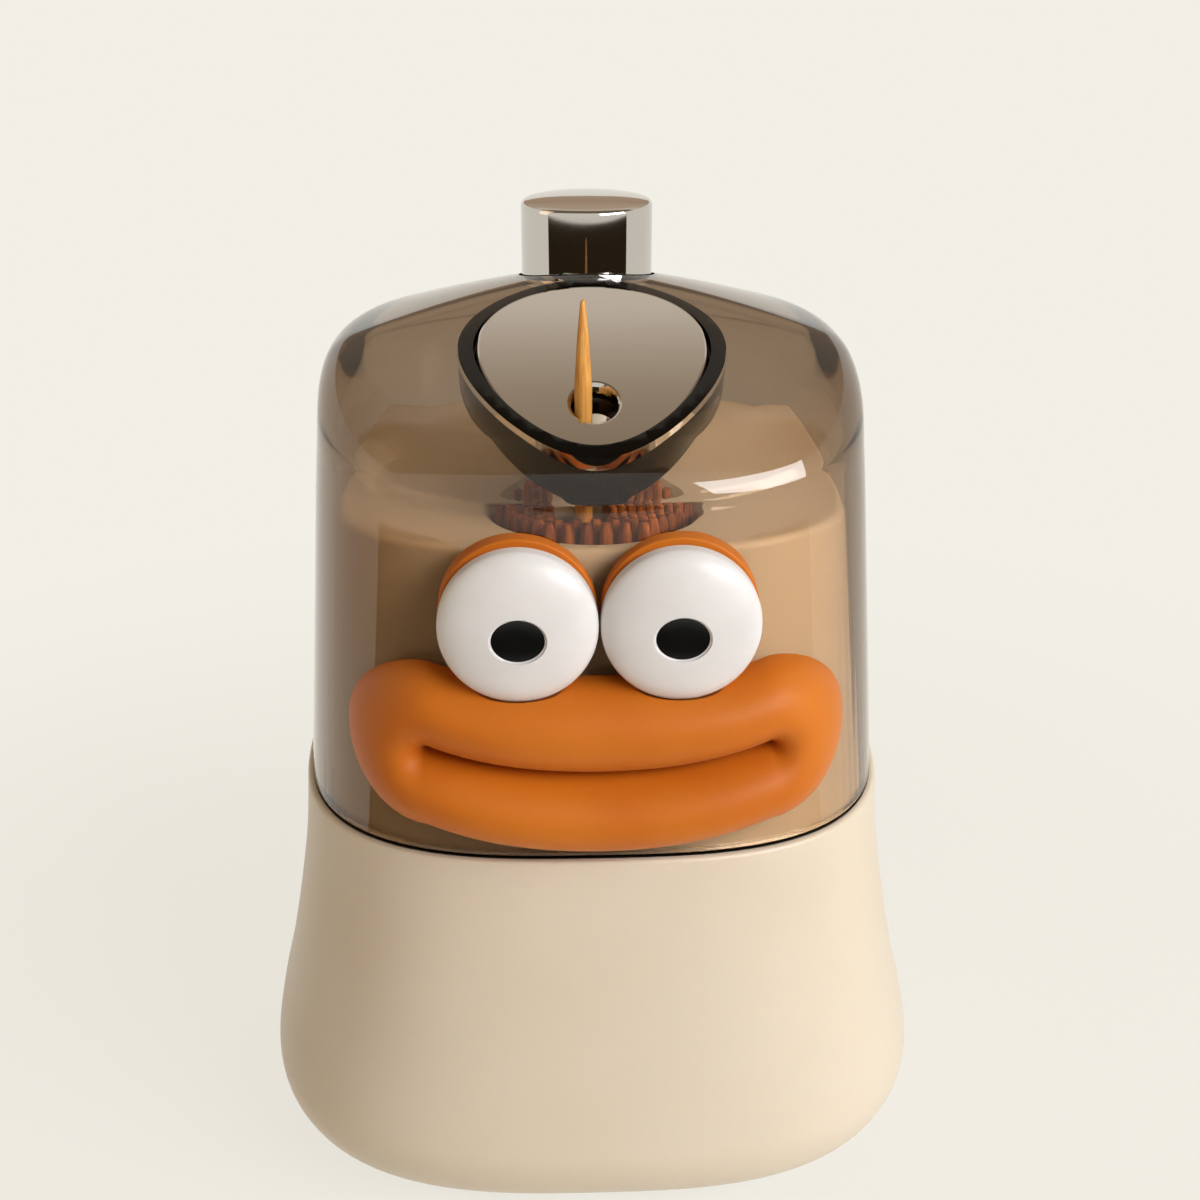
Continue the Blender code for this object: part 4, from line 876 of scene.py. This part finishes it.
class DISPENSER_OT_cover(PieceOperator, bpy.types.Operator):
    """Adds the smoky cover with its tilted pocket"""
    bl_idname = "dispenser.cover"
    bl_label = "Smoky cover"

    def outline(self, sizes, grow, foot):
        """From the foot up the wall, round the shoulder and over the crowned dome."""
        half = COVER_SHOULDER_HALF + grow
        inner = half - sizes.round

        def dome_z(reach):
            fall = (DOME_HEIGHT - sizes.round) * (reach / COVER_SHOULDER_HALF) ** DOME_FALL_POWER
            return COVER_SHOULDER_Z + DOME_HEIGHT + grow - fall

        points = [(0, foot), (cover_half(foot) + grow, foot)]
        points += [(cover_half(z) + grow, z) for z in COVER_SIDE_Z]
        start, stop = Vector((half, COVER_SHOULDER_Z + grow)), Vector((inner, dome_z(inner)))
        corner = Vector((half, COVER_SHOULDER_Z + sizes.round + grow))
        for step in range(SHOULDER_STEPS):
            share = step / SHOULDER_STEPS
            points.append(tuple(start.lerp(corner, share).lerp(corner.lerp(stop, share), share)))
        for step in range(DOME_STEPS):
            reach = inner * (1 - step / DOME_STEPS)
            points.append((reach, dome_z(reach)))
        points.append((0, dome_z(0)))
        return points

    def block(self, sizes, points, sides):
        """Turns the outline, rounds its plan off towards the top and lowers the dome at the front."""
        top = COVER_SHOULDER_Z + DOME_HEIGHT
        bm = squared(turned(points, sides), lambda z: min(1.0, max(0.0, (top - z) / DOME_HEIGHT)))
        for vert in bm.verts:
            if vert.co.z > COVER_BEND_Z and vert.co.y < 0:
                above = min(1.0, (vert.co.z - COVER_BEND_Z) / (COVER_SHOULDER_Z - COVER_BEND_Z))
                vert.co.z -= sizes.front * above * (-vert.co.y / COVER_SHOULDER_HALF) ** DOME_FRONT_POWER
        return bm

    def shell(self, sizes, outer, cup_grow, sides):
        """The clear wall and dome, open where the pocket's cup and the knob go through."""
        inside = self.outline(sizes, -sizes.wall, COVER_FOOT_Z - OVERRUN)
        radius = KNOB_RADIUS + KNOB_HOLE_CLEARANCE
        knob_hole = cylinder(radius, DECK_Z, KNOB_HOLE_TOP_Z, (0, KNOB_Y), sides=96)
        return shaped(
            self.block(sizes, outer, sides),
            ("DIFFERENCE", self.block(sizes, inside, sides)),
            ("DIFFERENCE", egg_plug(sizes, cup_grow + PARTING, -CUP_DEPTH - PARTING, CUP_REACH)),
            ("DIFFERENCE", knob_hole),
        )

    def cup(self, sizes, outer, cup_grow, sides):
        """The pocket: part of the same moulding, coloured near black as painted shade for the dark that its
        thick clear wall shows, with its lip flush with the dome.
        """
        under = egg_plug(sizes, GAP - sizes.pocket_wall, -UNDERSIDE_CUTTER_DEPTH, -POCKET_FLOOR_UNDERSIDE)
        cup = shaped(
            egg_plug(sizes, cup_grow, -CUP_DEPTH, CUP_REACH),
            ("DIFFERENCE", egg_plug(sizes, GAP, -POCKET_FLOOR_DEPTH, CUTTER_REACH)),
            ("DIFFERENCE", under),
            ("DIFFERENCE", cylinder(HOLE_RADIUS, DECK_Z, KNOB_TOP_Z, (0, HOLE_Y))),
            ("INTERSECT", self.block(sizes, outer, sides)),
        )
        return soften(cup, CUP_EDGE, angle=40, segments=2)

    def foot_line(self, sides):
        """A flat near-black ring under the foot: a painted shadow that shows as a fine dark line where the
        cover sits on the base.
        """
        return squared(turned([
            (FOOT_LINE_INSIDE_HALF, FOOT_LINE_LOW_Z), (FOOT_LINE_OUTSIDE_HALF, FOOT_LINE_LOW_Z),
            (FOOT_LINE_OUTSIDE_HALF, FOOT_LINE_HIGH_Z), (FOOT_LINE_INSIDE_HALF, FOOT_LINE_HIGH_Z),
        ], sides))

    def build(self, scene):
        sizes = scene.dispenser_cover
        sides = scene.dispenser_base.sides
        outer = self.outline(sizes, 0, COVER_FOOT_Z)
        outer = rounded(outer[:3], COVER_FOOT_ROUND) + outer[3:]
        cup_grow = GAP + sizes.pocket_wall
        shell = self.shell(sizes, outer, cup_grow, sides)
        piece("cover_moulded", shell, "smoky", "cover", "smoky_san", "smoky_cover")
        cup = self.cup(sizes, outer, cup_grow, sides)
        # the pocket's near-black colour is painted shade
        piece("pocket_cup_painted_shade", cup, "shade_black", "cover", "black_gloss", "smoky_cover")
        # a painted shadow line under the cover's foot
        piece("cover_foot_shadow_line", self.foot_line(sides), "shade_black", "cover", "black_gloss")


class DISPENSER_OT_mirror(PieceOperator, bpy.types.Operator):
    """Adds the chrome plate in the pocket"""
    bl_idname = "dispenser.mirror"
    bl_label = "Mirror plate"

    def build(self, scene):
        plate = shaped(
            egg_plug(scene.dispenser_cover, 0, -MIRROR_THICK, 0),
            ("DIFFERENCE", cylinder(HOLE_RADIUS, DECK_Z, KNOB_TOP_Z, (0, HOLE_Y), sides=64)),
        )
        plate = soften(plate, MIRROR_EDGE, angle=50)
        # the edge's rounding meets the face at a sharp edge, so that the face mirrors as a flat one
        piece("mirror_plate_polished", plate, "chrome", "cover", "chrome", "mirror_plate", sharp=10)


class DISPENSER_OT_knob(PieceOperator, bpy.types.Operator):
    """Adds the chrome press knob"""
    bl_idname = "dispenser.knob"
    bl_label = "Knob"

    def build(self, scene):
        crown = [(radius * MM, z * MM) for radius, z in KNOB_CROWN_MM]
        shoulder = rounded([
            crown[-1], (KNOB_RADIUS, KNOB_SHOULDER_Z), (KNOB_RADIUS, KNOB_WAIST_Z),
        ], KNOB_SHOULDER_ROUND, steps=8)
        skirt = rounded([
            (KNOB_RADIUS, KNOB_WAIST_Z), (KNOB_RADIUS, KNOB_FOOT_Z), (KNOB_INSIDE_RADIUS, KNOB_FOOT_Z),
            (KNOB_INSIDE_RADIUS, KNOB_CEILING_Z),
        ], KNOB_FOOT_ROUND, steps=3)
        socket = rounded([
            (KNOB_INSIDE_RADIUS, KNOB_CEILING_Z), (SOCKET_RADIUS, KNOB_CEILING_Z),
            (SOCKET_RADIUS, SOCKET_FOOT_Z), (SOCKET_BORE_RADIUS, SOCKET_FOOT_Z),
            (SOCKET_BORE_RADIUS, KNOB_CEILING_Z), (0, KNOB_CEILING_Z),
        ], SOCKET_ROUND, steps=2)
        cap = turned(crown + shoulder[1:] + skirt[1:] + socket[1:], KNOB_SIDES, (0, KNOB_Y))
        piece("knob_polished", cap, "chrome", "knob", "chrome", "knob_cap")


class DISPENSER_OT_eyes(PieceOperator, bpy.types.Operator):
    """Adds the eyes, the pupils and the orange lids"""
    bl_idname = "dispenser.eyes"
    bl_label = "Eyes"

    def oval(self, profile_mm, x, z):
        """Spins a profile and presses it a little flatter about its centre."""
        bm = facing([(radius * MM, out * MM) for radius, out in profile_mm], x, z, PUPIL_SIDES)
        centre = Vector((x, 0, z))
        press = Matrix.Diagonal((1.0, 1.0, PUPIL_HEIGHT_SHARE, 1.0))
        press = Matrix.Translation(centre) @ press @ Matrix.Translation(-centre)
        bmesh.ops.transform(bm, matrix=press, verts=bm.verts)
        return bm

    def lid(self, radius, x, z, sides):
        """A disc behind the eye, cut to the cover's curve."""
        back = [(0, LID_BACK), (radius, LID_BACK), (radius, LID_STRAIGHT_END)]
        front = rounded([(radius, LID_STRAIGHT_END), (radius, LID_FRONT), (0, LID_FRONT)], LID_ROUND)
        return shaped(facing(back + front[1:], x, z), ("DIFFERENCE", cover_seat(sides)))

    def build(self, scene):
        sizes = scene.dispenser_face
        pupil_z = sizes.eye_z - PUPIL_DROP
        for side, x in (("left", -sizes.eye_side), ("right", sizes.eye_side)):
            dish = self.oval(PUPIL_DISH_MM, x, pupil_z)
            white = shaped(facing(eye_white_profile(sizes.eye), x, sizes.eye_z), ("DIFFERENCE", dish))
            piece(f"eye_white_{side}_lacquered", white, "white", "cover", "white_gloss", f"eye_white_{side}")
            pupil = self.oval(PUPIL_SIDE_MM, x, pupil_z)
            piece(f"eye_pupil_{side}_lacquered", pupil, "black", "cover", "black_gloss", f"eye_pupil_{side}")
            lid = self.lid(sizes.eye, x, sizes.eye_z + LID_RISE, scene.dispenser_base.sides)
            piece(f"eyelid_{side}_moulded", lid, "orange", "cover", "orange_rubber", f"eyelid_{side}")


class DISPENSER_OT_lips(PieceOperator, bpy.types.Operator):
    """Adds the fat orange lips"""
    bl_idname = "dispenser.lips"
    bl_label = "Lips"

    def centre(self, sizes, share):
        """A point of the loop that the lips follow, and the way out of the smile there."""
        half, radius = sizes.slit_half, sizes.lip
        straight, turn = 2 * half, math.pi * radius
        along = share * 2 * (straight + turn)

        def smile(x):
            return SMILE_Z + SMILE_RISE * (x / half) ** 2

        if along < straight:
            x = -half + along
            return Vector((x, smile(x))), Vector((0, 1))
        along -= straight
        if along < turn:
            angle = math.pi / 2 - along / radius
            return Vector((half, smile(half))), Vector((math.cos(angle), math.sin(angle)))
        along -= turn
        if along < straight:
            x = half - along
            return Vector((x, smile(x))), Vector((0, -1))
        angle = -math.pi / 2 - (along - straight) / radius
        return Vector((-half, smile(half))), Vector((math.cos(angle), math.sin(angle)))

    def ring(self, bm, sizes, share):
        """The lips' section at one place round the loop, flat against the cover at the back."""
        start, out = self.centre(sizes, share)
        # the upper lip is fuller in the middle, under the eyes
        middle = math.exp(-((start.x / UPPER_LIP_FULL_WIDTH) ** 2))
        radius = sizes.lip * (1 + UPPER_LIP_FULLNESS * max(0.0, out.y) * middle)
        ring = []
        for step in range(LIP_SIDES):
            turn = math.tau * step / LIP_SIDES
            flat = start + out * radius * (1 + LIP_CLOSE_SHARE * math.cos(turn))
            depth = max(sizes.lip_proud * math.sin(turn), GAP)
            ring.append(bm.verts.new((flat.x, -plan_depth(cover_half(flat.y), flat.x) - depth, flat.y)))
        return [bm.edges.new(pair) for pair in zip(ring, ring[1:] + ring[:1])]

    def build(self, scene):
        sizes = scene.dispenser_face
        bm = bmesh.new()
        rings = [self.ring(bm, sizes, station / LIP_STATIONS) for station in range(LIP_STATIONS)]
        for first, second in zip(rings, rings[1:] + rings[:1]):
            bmesh.ops.bridge_loops(bm, edges=first + second)
        bmesh.ops.recalc_face_normals(bm, faces=bm.faces)
        clear = eye_white_profile(sizes.eye, GAP)
        eyes = [("DIFFERENCE", facing(clear, x, sizes.eye_z)) for x in (-sizes.eye_side, sizes.eye_side)]
        piece("lips_moulded", shaped(bm, *eyes), "orange", "cover", "orange_rubber", "lips")


class DISPENSER_OT_toothpicks(PieceOperator, bpy.types.Operator):
    """Adds the stored toothpicks and the raised one"""
    bl_idname = "dispenser.toothpicks"
    bl_label = "Toothpicks"

    def stick(self, bm, sizes, x, y, low, sides, taper):
        """One stick, pointed at both ends. The taper is (share of the radius, distance from the tip)."""
        top = low + sizes.length
        rings = [(share, low + rise) for share, rise in taper]
        rings += [(share, top - rise) for share, rise in reversed(taper)]
        points = [bm.verts.new((x + sizes.radius * share, y, z)) for share, z in rings]
        edges = [bm.edges.new(pair) for pair in zip(points, points[1:])]
        bmesh.ops.spin(bm, geom=points + edges, cent=(x, y, 0), axis=(0, 0, 1), angle=math.tau, steps=sides,
                       use_merge=True)

    def stored(self, sizes):
        """Rows that fill the well round the lane, each one half a pitch off the next."""
        bm = bmesh.new()
        limit = WELL_RADIUS - sizes.radius - WELL_CLEARANCE
        row_pitch = sizes.pitch * ROW_SHARE
        rows = int(limit / row_pitch) + 1
        for row in range(-rows, rows + 1):
            for place in range(-rows - 1, rows + 2):
                x = (place + 0.5 * (row % 2)) * sizes.pitch
                y = row * row_pitch
                beside = abs(x - PICK_X) < LANE_CLEAR_SIDE + sizes.radius
                in_lane = beside and WELL_Y + y > LANE_CLEAR_FRONT_Y - sizes.radius
                if math.hypot(x, y) < limit and not in_lane:
                    self.stick(bm, sizes, x, WELL_Y + y, STORED_FOOT_Z, STORED_SIDES, BLUNT_TAPER)
        bmesh.ops.remove_doubles(bm, verts=bm.verts, dist=MERGE_DISTANCE)
        return bm

    def build(self, scene):
        sizes = scene.dispenser_picks
        # the stored sticks take a darker copy of the bamboo, painted shade for the well
        piece("stored_toothpicks", self.stored(sizes), "packed", "tower", "bamboo", "toothpick_bundle")
        one = bmesh.new()
        self.stick(one, sizes, PICK_X, PICK_Y, RAISED_FOOT_Z, RAISED_SIDES, SHARP_TAPER)
        bmesh.ops.remove_doubles(one, verts=one.verts, dist=MERGE_DISTANCE)
        piece("raised_toothpick_turned", one, "bamboo", "toothpick", "bamboo", "raised_toothpick")


class DISPENSER_OT_spring(PieceOperator, bpy.types.Operator):
    """Adds the return spring, which shortens as the knob goes down"""
    bl_idname = "dispenser.spring"
    bl_label = "Return spring"

    def height(self, turn):
        """The end turns lie close together, and the ones between share the rest of the height."""
        closed = min(turn, SPRING_DEAD_TURNS) + max(0.0, turn - SPRING_TURNS + SPRING_DEAD_TURNS)
        open_share = (turn - SPRING_DEAD_TURNS) / (SPRING_TURNS - 2 * SPRING_DEAD_TURNS)
        rest = SPRING_HIGH_Z - SPRING_LOW_Z - 2 * SPRING_DEAD_TURNS * SPRING_CLOSED_PITCH
        return SPRING_LOW_Z + SPRING_CLOSED_PITCH * closed + rest * min(1.0, max(0.0, open_share))

    def build(self, scene):
        bm = bmesh.new()
        rings = []
        for step in range(SPRING_TURNS * SPRING_TURN_STEPS + 1):
            angle = math.tau * step / SPRING_TURN_STEPS
            z = self.height(step / SPRING_TURN_STEPS)
            ring = []
            for corner in range(SPRING_WIRE_SIDES):
                round_wire = math.tau * corner / SPRING_WIRE_SIDES
                reach = SPRING_COIL_RADIUS + SPRING_WIRE_RADIUS * math.cos(round_wire)
                rise = SPRING_WIRE_RADIUS * math.sin(round_wire)
                place = (reach * math.cos(angle), KNOB_Y + reach * math.sin(angle), z + rise)
                ring.append(bm.verts.new(place))
            rings.append(ring)
        loops = [[bm.edges.new(pair) for pair in zip(ring, ring[1:] + ring[:1])] for ring in rings]
        for first, second in zip(loops, loops[1:]):
            bmesh.ops.bridge_loops(bm, edges=first + second)
        bm.faces.new(rings[0])
        bm.faces.new(rings[-1])
        spring = piece("return_spring_wound", bm, "steel", "tower", "steel", "return_spring")
        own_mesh(spring)


class DISPENSER_OT_works(PieceOperator, bpy.types.Operator):
    """Gives the working parts inside and below their finishes"""
    bl_idname = "dispenser.works"
    bl_label = "Working parts"

    def build(self, scene):
        for entry in frame["record"]["subparts"]:
            node = frame["nodes"][entry["node"]]
            for place in node.material_slots:
                place.material = finish(SLOT_FINISHES[entry["material_slot"]])


class DISPENSER_OT_stage(PieceOperator, bpy.types.Operator):
    """Adds the floor, the soft lights, the room and the camera"""
    bl_idname = "dispenser.stage"
    bl_label = "Stage"

    def backdrop_rays(self, tree, look):
        """1 for rays from the camera, a mirror or glass, and the backdrop's colour for those rays."""
        ray = add_node(tree, "ShaderNodeLightPath")
        seen = add_node(tree, "ShaderNodeMath", {
            0: (ray, "Is Camera Ray"), 1: (ray, "Is Glossy Ray"),
        }, operation="MAXIMUM")
        share = add_node(tree, "ShaderNodeMath", {
            0: (seen, "Value"), 1: (ray, "Is Transmission Ray"),
        }, operation="MAXIMUM")
        # painted shade: the backdrop is duller for rays through the cover, whose wall would otherwise show as
        # pale as the paper
        paper = add_node(tree, "ShaderNodeMix", {
            "Factor": (ray, "Is Transmission Ray"), "A": tuple(look.paper), "B": tuple(look.through_glass),
        }, data_type="RGBA")
        return share, paper

    def light(self, name, place, aim_z, size, power, colour, reflected):
        """A soft box turned towards a point on the object's axis."""
        lamp = bpy.data.lights.new(name, "AREA")
        lamp.shape = "RECTANGLE"
        lamp.size, lamp.size_y = size
        lamp.energy = power
        lamp.color = linear(colour)[:3]
        made = bpy.data.objects.new(name, lamp)
        made.location = place
        towards = Vector((0, 0, aim_z)) - Vector(place)
        made.rotation_euler = towards.to_track_quat("-Z", "Y").to_euler()
        made.visible_glossy = made.visible_transmission = reflected
        bpy.context.scene.collection.objects.link(made)

    def card(self, name, corners, stops):
        """A flat card that only reflections see. Each stop is (y, colour)."""
        bm = bmesh.new()
        bm.faces.new([bm.verts.new(corner) for corner in corners])
        bmesh.ops.triangulate(bm, faces=bm.faces)
        mesh = bpy.data.meshes.new(name)
        bm.to_mesh(mesh)
        bm.free()
        made, tree = new_material(name)
        start, stop = stops[0][0], stops[-1][0]
        place = add_node(tree, "ShaderNodeTexCoord")
        axes = add_node(tree, "ShaderNodeSeparateXYZ", {"Vector": (place, "Object")})
        back = add_node(tree, "ShaderNodeMapRange", {
            "Value": (axes, "Y"), "From Min": start, "From Max": stop,
        })
        wash = add_node(tree, "ShaderNodeValToRGB", {"Fac": (back, "Result")})
        while len(wash.color_ramp.elements) < len(stops):
            wash.color_ramp.elements.new(0.5)
        for element, (y, colour) in zip(wash.color_ramp.elements, stops):
            element.position = (y - start) / (stop - start)
            element.color = linear(colour)
        finish_surface(tree, add_node(tree, "ShaderNodeEmission", {"Color": (wash, "Color")}), "Emission")
        mesh.materials.append(made)
        card = bpy.data.objects.new(name, mesh)
        card.visible_camera = card.visible_diffuse = card.visible_shadow = card.visible_transmission = False
        bpy.context.scene.collection.objects.link(card)

    def cards(self):
        """Painted reflections for the chrome, which only reflections see: a grey ceiling overhead, and a dark
        sweep low ahead of it.
        """
        self.card("ceiling_card", [
            (-CEILING_HALF_WIDTH, CEILING_FRONT_Y, CEILING_Z),
            (CEILING_HALF_WIDTH, CEILING_FRONT_Y, CEILING_Z),
            (CEILING_HALF_WIDTH, CEILING_BACK_Y, CEILING_Z),
            (-CEILING_HALF_WIDTH, CEILING_BACK_Y, CEILING_Z),
        ], CEILING_WASH)
        turns = range(-DARK_CARD_HALF_SWEEP_DEGREES, DARK_CARD_HALF_SWEEP_DEGREES + 1, DARK_CARD_STEP_DEGREES)
        sweep = [(math.sin(turn), -math.cos(turn)) for turn in map(math.radians, turns)]
        near = [(x * DARK_CARD_NEAR_RADIUS, y * DARK_CARD_NEAR_RADIUS, DARK_CARD_Z) for x, y in sweep]
        far = [(x * DARK_CARD_FAR_RADIUS, y * DARK_CARD_FAR_RADIUS, DARK_CARD_Z) for x, y in reversed(sweep)]
        plain = ((-DARK_CARD_FAR_RADIUS, DARK_CARD_COLOUR), (-DARK_CARD_NEAR_RADIUS, DARK_CARD_COLOUR))
        self.card("dark_reflection_card", near + far, plain)

    def build(self, scene):
        look = scene.dispenser_stage
        self.floor(look)
        self.room(scene, look)
        for name, place, aim_z, size, share, colour, reflected in SOFT_BOXES:
            self.light(name, place, aim_z, size, look.key * share, colour, reflected)
        self.cards()
        self.camera(scene)

    def floor(self, look):
        """Paper that takes the object's shadow, and glows evenly away from it."""
        bm = bmesh.new()
        bmesh.ops.create_grid(bm, x_segments=1, y_segments=1, size=FLOOR_HALF_WIDTH)
        mesh = bpy.data.meshes.new("floor")
        bm.to_mesh(mesh)
        bm.free()
        floor = bpy.data.objects.new("floor", mesh)
        bpy.context.scene.collection.objects.link(floor)
        made, tree = new_material("seamless_paper")
        fibre = grain(tree, 3)
        paper = add_node(tree, "ShaderNodeMix", {
            "Factor": (fibre, "Fac"), "A": tuple(look.paper), "B": linear("#F3F0E8"),
        }, data_type="RGBA")
        matt = add_node(tree, "ShaderNodeBsdfDiffuse", {"Color": (paper, "Result")})
        share, backdrop = self.backdrop_rays(tree, look)
        glow = add_node(tree, "ShaderNodeEmission", {"Color": (backdrop, "Result"), "Strength": 1.0})
        place = add_node(tree, "ShaderNodeTexCoord")
        reach = add_node(tree, "ShaderNodeVectorMath", {0: (place, "Object")}, operation="LENGTH")
        glow_share = add_node(tree, "ShaderNodeMapRange", {
            "Value": (reach, "Value"), "From Min": SHADOW_NEAR, "From Max": SHADOW_FAR,
            "To Min": look.glow, "To Max": 1.0,
        }, interpolation_type="SMOOTHSTEP")
        part = add_node(tree, "ShaderNodeMath", {
            0: (share, "Value"), 1: (glow_share, "Result"),
        }, operation="MULTIPLY")
        mixed = add_node(tree, "ShaderNodeMixShader", {
            0: (part, "Value"), 1: (matt, "BSDF"), 2: (glow, "Emission"),
        })
        finish_surface(tree, mixed, "Shader")
        mesh.materials.append(made)

    def room(self, scene, look):
        """Soft warm light from all round, with the backdrop's paper behind the object."""
        world = bpy.data.worlds.new("studio_room")
        scene.world = world
        world.use_nodes = True
        tree = world.node_tree
        tree.nodes.clear()
        soft = add_node(tree, "ShaderNodeBackground", {"Color": linear("#FFE6C4"), "Strength": look.fill})
        share, backdrop = self.backdrop_rays(tree, look)
        paper = add_node(tree, "ShaderNodeBackground", {"Color": (backdrop, "Result"), "Strength": 1.0})
        mixed = add_node(tree, "ShaderNodeMixShader", {
            0: (share, "Value"), 1: (soft, "Background"), 2: (paper, "Background"),
        })
        add_node(tree, "ShaderNodeOutputWorld", {"Surface": (mixed, "Shader")})
        scene.view_settings.view_transform = "Standard"

    def camera(self, scene):
        """Stands where the photograph's camera stood."""
        lens = bpy.data.cameras.new("camera")
        lens.sensor_width = CAMERA_SENSOR_MM
        lens.lens = CAMERA_LENS_MM
        made = bpy.data.objects.new("camera", lens)
        ahead = (math.sin(CAMERA_YAW), math.cos(CAMERA_YAW))
        made.location = (
            CAMERA_SIDE * ahead[1] - CAMERA_DISTANCE * ahead[0],
            -CAMERA_SIDE * ahead[0] - CAMERA_DISTANCE * ahead[1],
            CAMERA_HEIGHT,
        )
        made.rotation_euler = (math.pi / 2 - CAMERA_PITCH, 0, -CAMERA_YAW)
        scene.collection.objects.link(made)
        scene.camera = made


class DISPENSER_PT_panel(bpy.types.Panel):
    """Lists the dispenser's sizes and the operators that build it"""
    bl_idname = "DISPENSER_PT_panel"
    bl_label = "Toothpick dispenser"
    bl_space_type = "VIEW_3D"
    bl_region_type = "UI"
    bl_category = "Dispenser"

    def draw(self, context):
        for name in GROUPS:
            sizes = getattr(context.scene, name)
            column = self.layout.column()
            for key in sizes.__annotations__:
                column.prop(sizes, key)
        for made in OPERATORS:
            self.layout.operator(made.bl_idname)


GROUPS = {
    "dispenser_base": BaseSizes, "dispenser_cover": CoverSizes, "dispenser_face": FaceSizes,
    "dispenser_picks": PickSizes, "dispenser_stage": StageLook,
}
OPERATORS = (
    DISPENSER_OT_works, DISPENSER_OT_base, DISPENSER_OT_tower, DISPENSER_OT_cover, DISPENSER_OT_mirror,
    DISPENSER_OT_knob, DISPENSER_OT_eyes, DISPENSER_OT_lips, DISPENSER_OT_toothpicks, DISPENSER_OT_spring,
    DISPENSER_OT_stage,
)


def register():
    for made in (*GROUPS.values(), *OPERATORS, DISPENSER_PT_panel):
        bpy.utils.register_class(made)
    for name, group in GROUPS.items():
        setattr(bpy.types.Scene, name, PointerProperty(type=group))


def unregister():
    for name in GROUPS:
        delattr(bpy.types.Scene, name)
    for made in reversed((*GROUPS.values(), *OPERATORS, DISPENSER_PT_panel)):
        bpy.utils.unregister_class(made)


def main():
    register()
    for made in OPERATORS:
        group, name = made.bl_idname.split(".")
        getattr(getattr(bpy.ops, group), name)()


if __name__ == "__main__":
    main()
